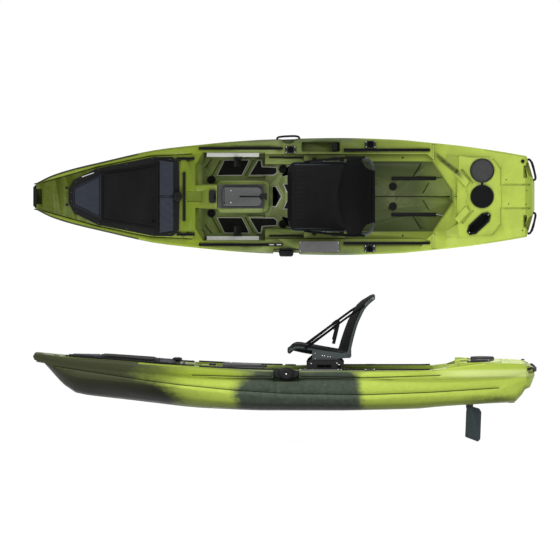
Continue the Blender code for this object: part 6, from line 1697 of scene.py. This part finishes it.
def lay_floor(studio):
    """White floor just under the kayak, partly glowing so that it shows as plain white."""
    material, tree, shader = stage_material("studio_floor", (0.85, 0.85, 0.85, 1), 0.9)
    glow = add_node(tree, "ShaderNodeEmission", {"Color": (1, 1, 1, 1), "Strength": 1.10})
    mixed = add_node(tree, "ShaderNodeMixShader", {0: plain_share(tree) * studio.floor_glow})
    tree.links.new(shader.outputs[0], mixed.inputs[1])
    tree.links.new(glow.outputs[0], mixed.inputs[2])
    tree.links.new(mixed.outputs[0], tree.nodes["Material Output"].inputs["Surface"])
    level = CAD_BOX[0][2] - FLOOR_GAP
    corners = [(x, y, level) for x, y in box_outline(-5, -26, 5, 8)]
    stage_object("studio_floor", corners, material)


def hang_mirrors(studio, up, ahead):
    """Two mirrors that show the kayak from above over its side view."""
    mirror, _, shader = stage_material("studio_mirror", (1, 1, 1, 1), 0.0)
    shader.inputs["Metallic"].default_value = 1.0
    far = up * MIRROR_HEIGHT + ahead * MIRROR_DISTANCE
    flight = 2 * MIRROR_SLOPE + studio.elevation
    near = far + Vector((0, math.cos(flight), math.sin(flight))) * (far.y / -math.cos(flight))
    second_slope = (flight - math.pi / 2) / 2
    half = MIRROR_HALF_WIDTH
    for name, centre, slope, low, high in (("studio_mirror_far", far, MIRROR_SLOPE, -0.588, 0.64),
                                           ("studio_mirror_high", near, second_slope, -0.72, 0.72)):
        line = Vector((0, math.cos(slope), math.sin(slope)))
        corners = [centre + line * along + Vector((studio.centre_x + across, 0, 0))
                   for along, across in ((low, -half), (low, half), (high, half), (high, -half))]
        stage_object(name, corners, mirror)


def hang_lamps(studio):
    for name, place, size, share in (("key_lamp", (-1.2, -3.6, 3.2), 2.6, 1.0),
                                     ("fill_lamp", (2.4, 3.4, 2.8), 2.6, 0.55),
                                     ("front_lamp", (0.6, -4.6, 0.9), 2.2, 0.35)):
        light = bpy.data.lights.new(name, "AREA")
        light.shape = "RECTANGLE"
        light.size = size * 1.6
        light.size_y = size * 0.7
        light.energy = studio.key_strength * share
        lamp = bpy.data.objects.new(name, light)
        bpy.context.scene.collection.objects.link(lamp)
        lamp.location = place
        lamp.rotation_euler = (Vector((0, 0, 0.1)) - Vector(place)).to_track_quat("-Z", "Y").to_euler()
        lamp.visible_camera = False


def set_camera(studio, up, ahead):
    data = bpy.data.cameras.new("photo_camera")
    data.type = "ORTHO"
    data.ortho_scale = studio.frame_width
    data.clip_start = 0.1
    data.clip_end = 400.0
    camera = bpy.data.objects.new("photo_camera", data)
    bpy.context.scene.collection.objects.link(camera)
    camera.location = Vector((studio.centre_x, 0, 0)) + up * studio.centre_up - ahead * CAMERA_DISTANCE
    camera.rotation_euler = ahead.to_track_quat("-Z", "Y").to_euler()
    bpy.context.scene.camera = camera


def set_studio(studio):
    """Floor, mirrors for the view from above, lamps and camera."""
    tilt = studio.elevation
    up = Vector((0, math.sin(tilt), math.cos(tilt)))
    ahead = Vector((0, math.cos(tilt), -math.sin(tilt)))
    bpy.context.scene.view_settings.view_transform = "Standard"
    set_sky(studio)
    lay_floor(studio)
    hang_mirrors(studio, up, ahead)
    hang_lamps(studio)
    set_camera(studio, up, ahead)


# Operators

class KAYAK_OT_finishes(bpy.types.Operator):
    """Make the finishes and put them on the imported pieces"""
    bl_idname = "kayak.finishes"
    bl_label = "Finishes"

    def execute(self, context):
        settings = kayak_settings(context)
        make_finishes(settings.hull_looks, settings.soft_goods)
        dress_nodes()
        return {"FINISHED"}


class KAYAK_OT_cords(bpy.types.Operator):
    """Lay the two free cord ends in the tankwell"""
    bl_idname = "kayak.cords"
    bl_label = "Cord ends"

    def execute(self, context):
        lay_strip_cords()
        return {"FINISHED"}


class KAYAK_OT_hull(bpy.types.Operator):
    """Cut the moulded grooves and blocks into the hull"""
    bl_idname = "kayak.hull"
    bl_label = "Hull carving"

    def execute(self, context):
        carve_hull(kayak_settings(context).deck_carving)
        return {"FINISHED"}


class KAYAK_OT_bow_cover(bpy.types.Operator):
    """Sew the bow cloths and trim the lid"""
    bl_idname = "kayak.bow_cover"
    bl_label = "Bow cover"

    def execute(self, context):
        sew_bow_cover(kayak_settings(context).soft_goods)
        trim_bow_lid()
        return {"FINISHED"}


class KAYAK_OT_pads(bpy.types.Operator):
    """Lay the foam pads on the floors"""
    bl_idname = "kayak.pads"
    bl_label = "Foam pads"

    def execute(self, context):
        lay_pads()
        return {"FINISHED"}


class KAYAK_OT_seat(bpy.types.Operator):
    """Sew the seat and back cloths and fit the straps"""
    bl_idname = "kayak.seat"
    bl_label = "Seat"

    def execute(self, context):
        settings = kayak_settings(context)
        sew_seat(settings.soft_goods)
        sew_back(settings.soft_goods)
        fit_straps(settings.fittings)
        return {"FINISHED"}


class KAYAK_OT_fittings(bpy.types.Operator):
    """Drive the screws and fit the small parts"""
    bl_idname = "kayak.fittings"
    bl_label = "Screws and small parts"

    def execute(self, context):
        drive_screws(kayak_settings(context).fittings)
        fit_small_parts()
        return {"FINISHED"}


class KAYAK_OT_studio(bpy.types.Operator):
    """Set the floor, mirrors, lamps and camera"""
    bl_idname = "kayak.studio"
    bl_label = "Studio"

    def execute(self, context):
        set_studio(kayak_settings(context).studio)
        return {"FINISHED"}


OPERATORS = (KAYAK_OT_studio, KAYAK_OT_finishes, KAYAK_OT_cords, KAYAK_OT_hull, KAYAK_OT_bow_cover,
             KAYAK_OT_pads, KAYAK_OT_seat, KAYAK_OT_fittings)


class KAYAK_PT_finish(bpy.types.Panel):
    """Sizes, colours and steps of the kayak's finish"""
    bl_label = "Kayak finish"
    bl_idname = "KAYAK_PT_finish"
    bl_space_type = "VIEW_3D"
    bl_region_type = "UI"
    bl_category = "Kayak"

    def draw(self, context):
        settings = kayak_settings(context)
        for name, group in SETTINGS:
            box = self.layout.box()
            for label in group.__annotations__:
                box.prop(getattr(settings, name), label)
        for operator in OPERATORS:
            self.layout.operator(operator.bl_idname)


def pointer_property(kind, name, description):
    return bpy.props.PointerProperty(type=kind, name=name, description=description)


class KayakFinish(bpy.types.PropertyGroup):
    hull_looks: pointer_property(KayakHullLooks, "Hull", "Hull colours")
    deck_carving: pointer_property(KayakDeckCarving, "Deck", "Deck grooves and blocks")
    soft_goods: pointer_property(KayakSoftGoods, "Soft goods", "Cloths and foam")
    fittings: pointer_property(KayakFittings, "Fittings", "Screws and buckles")
    studio: pointer_property(KayakStudio, "Studio", "Camera and light")


CLASSES = (*(group for _, group in SETTINGS), KayakFinish, *OPERATORS, KAYAK_PT_finish)


def register():
    for item in CLASSES:
        bpy.utils.register_class(item)
    bpy.types.Scene.kayak_finish = pointer_property(KayakFinish, "Kayak finish",
                                                    "Sizes and colours of the kayak's finish")


def unregister():
    del bpy.types.Scene.kayak_finish
    for item in reversed(CLASSES):
        bpy.utils.unregister_class(item)


def main():
    register()
    for operator in OPERATORS:
        group, name = operator.bl_idname.split(".")
        getattr(getattr(bpy.ops, group), name)()


if __name__ == "__main__":
    main()
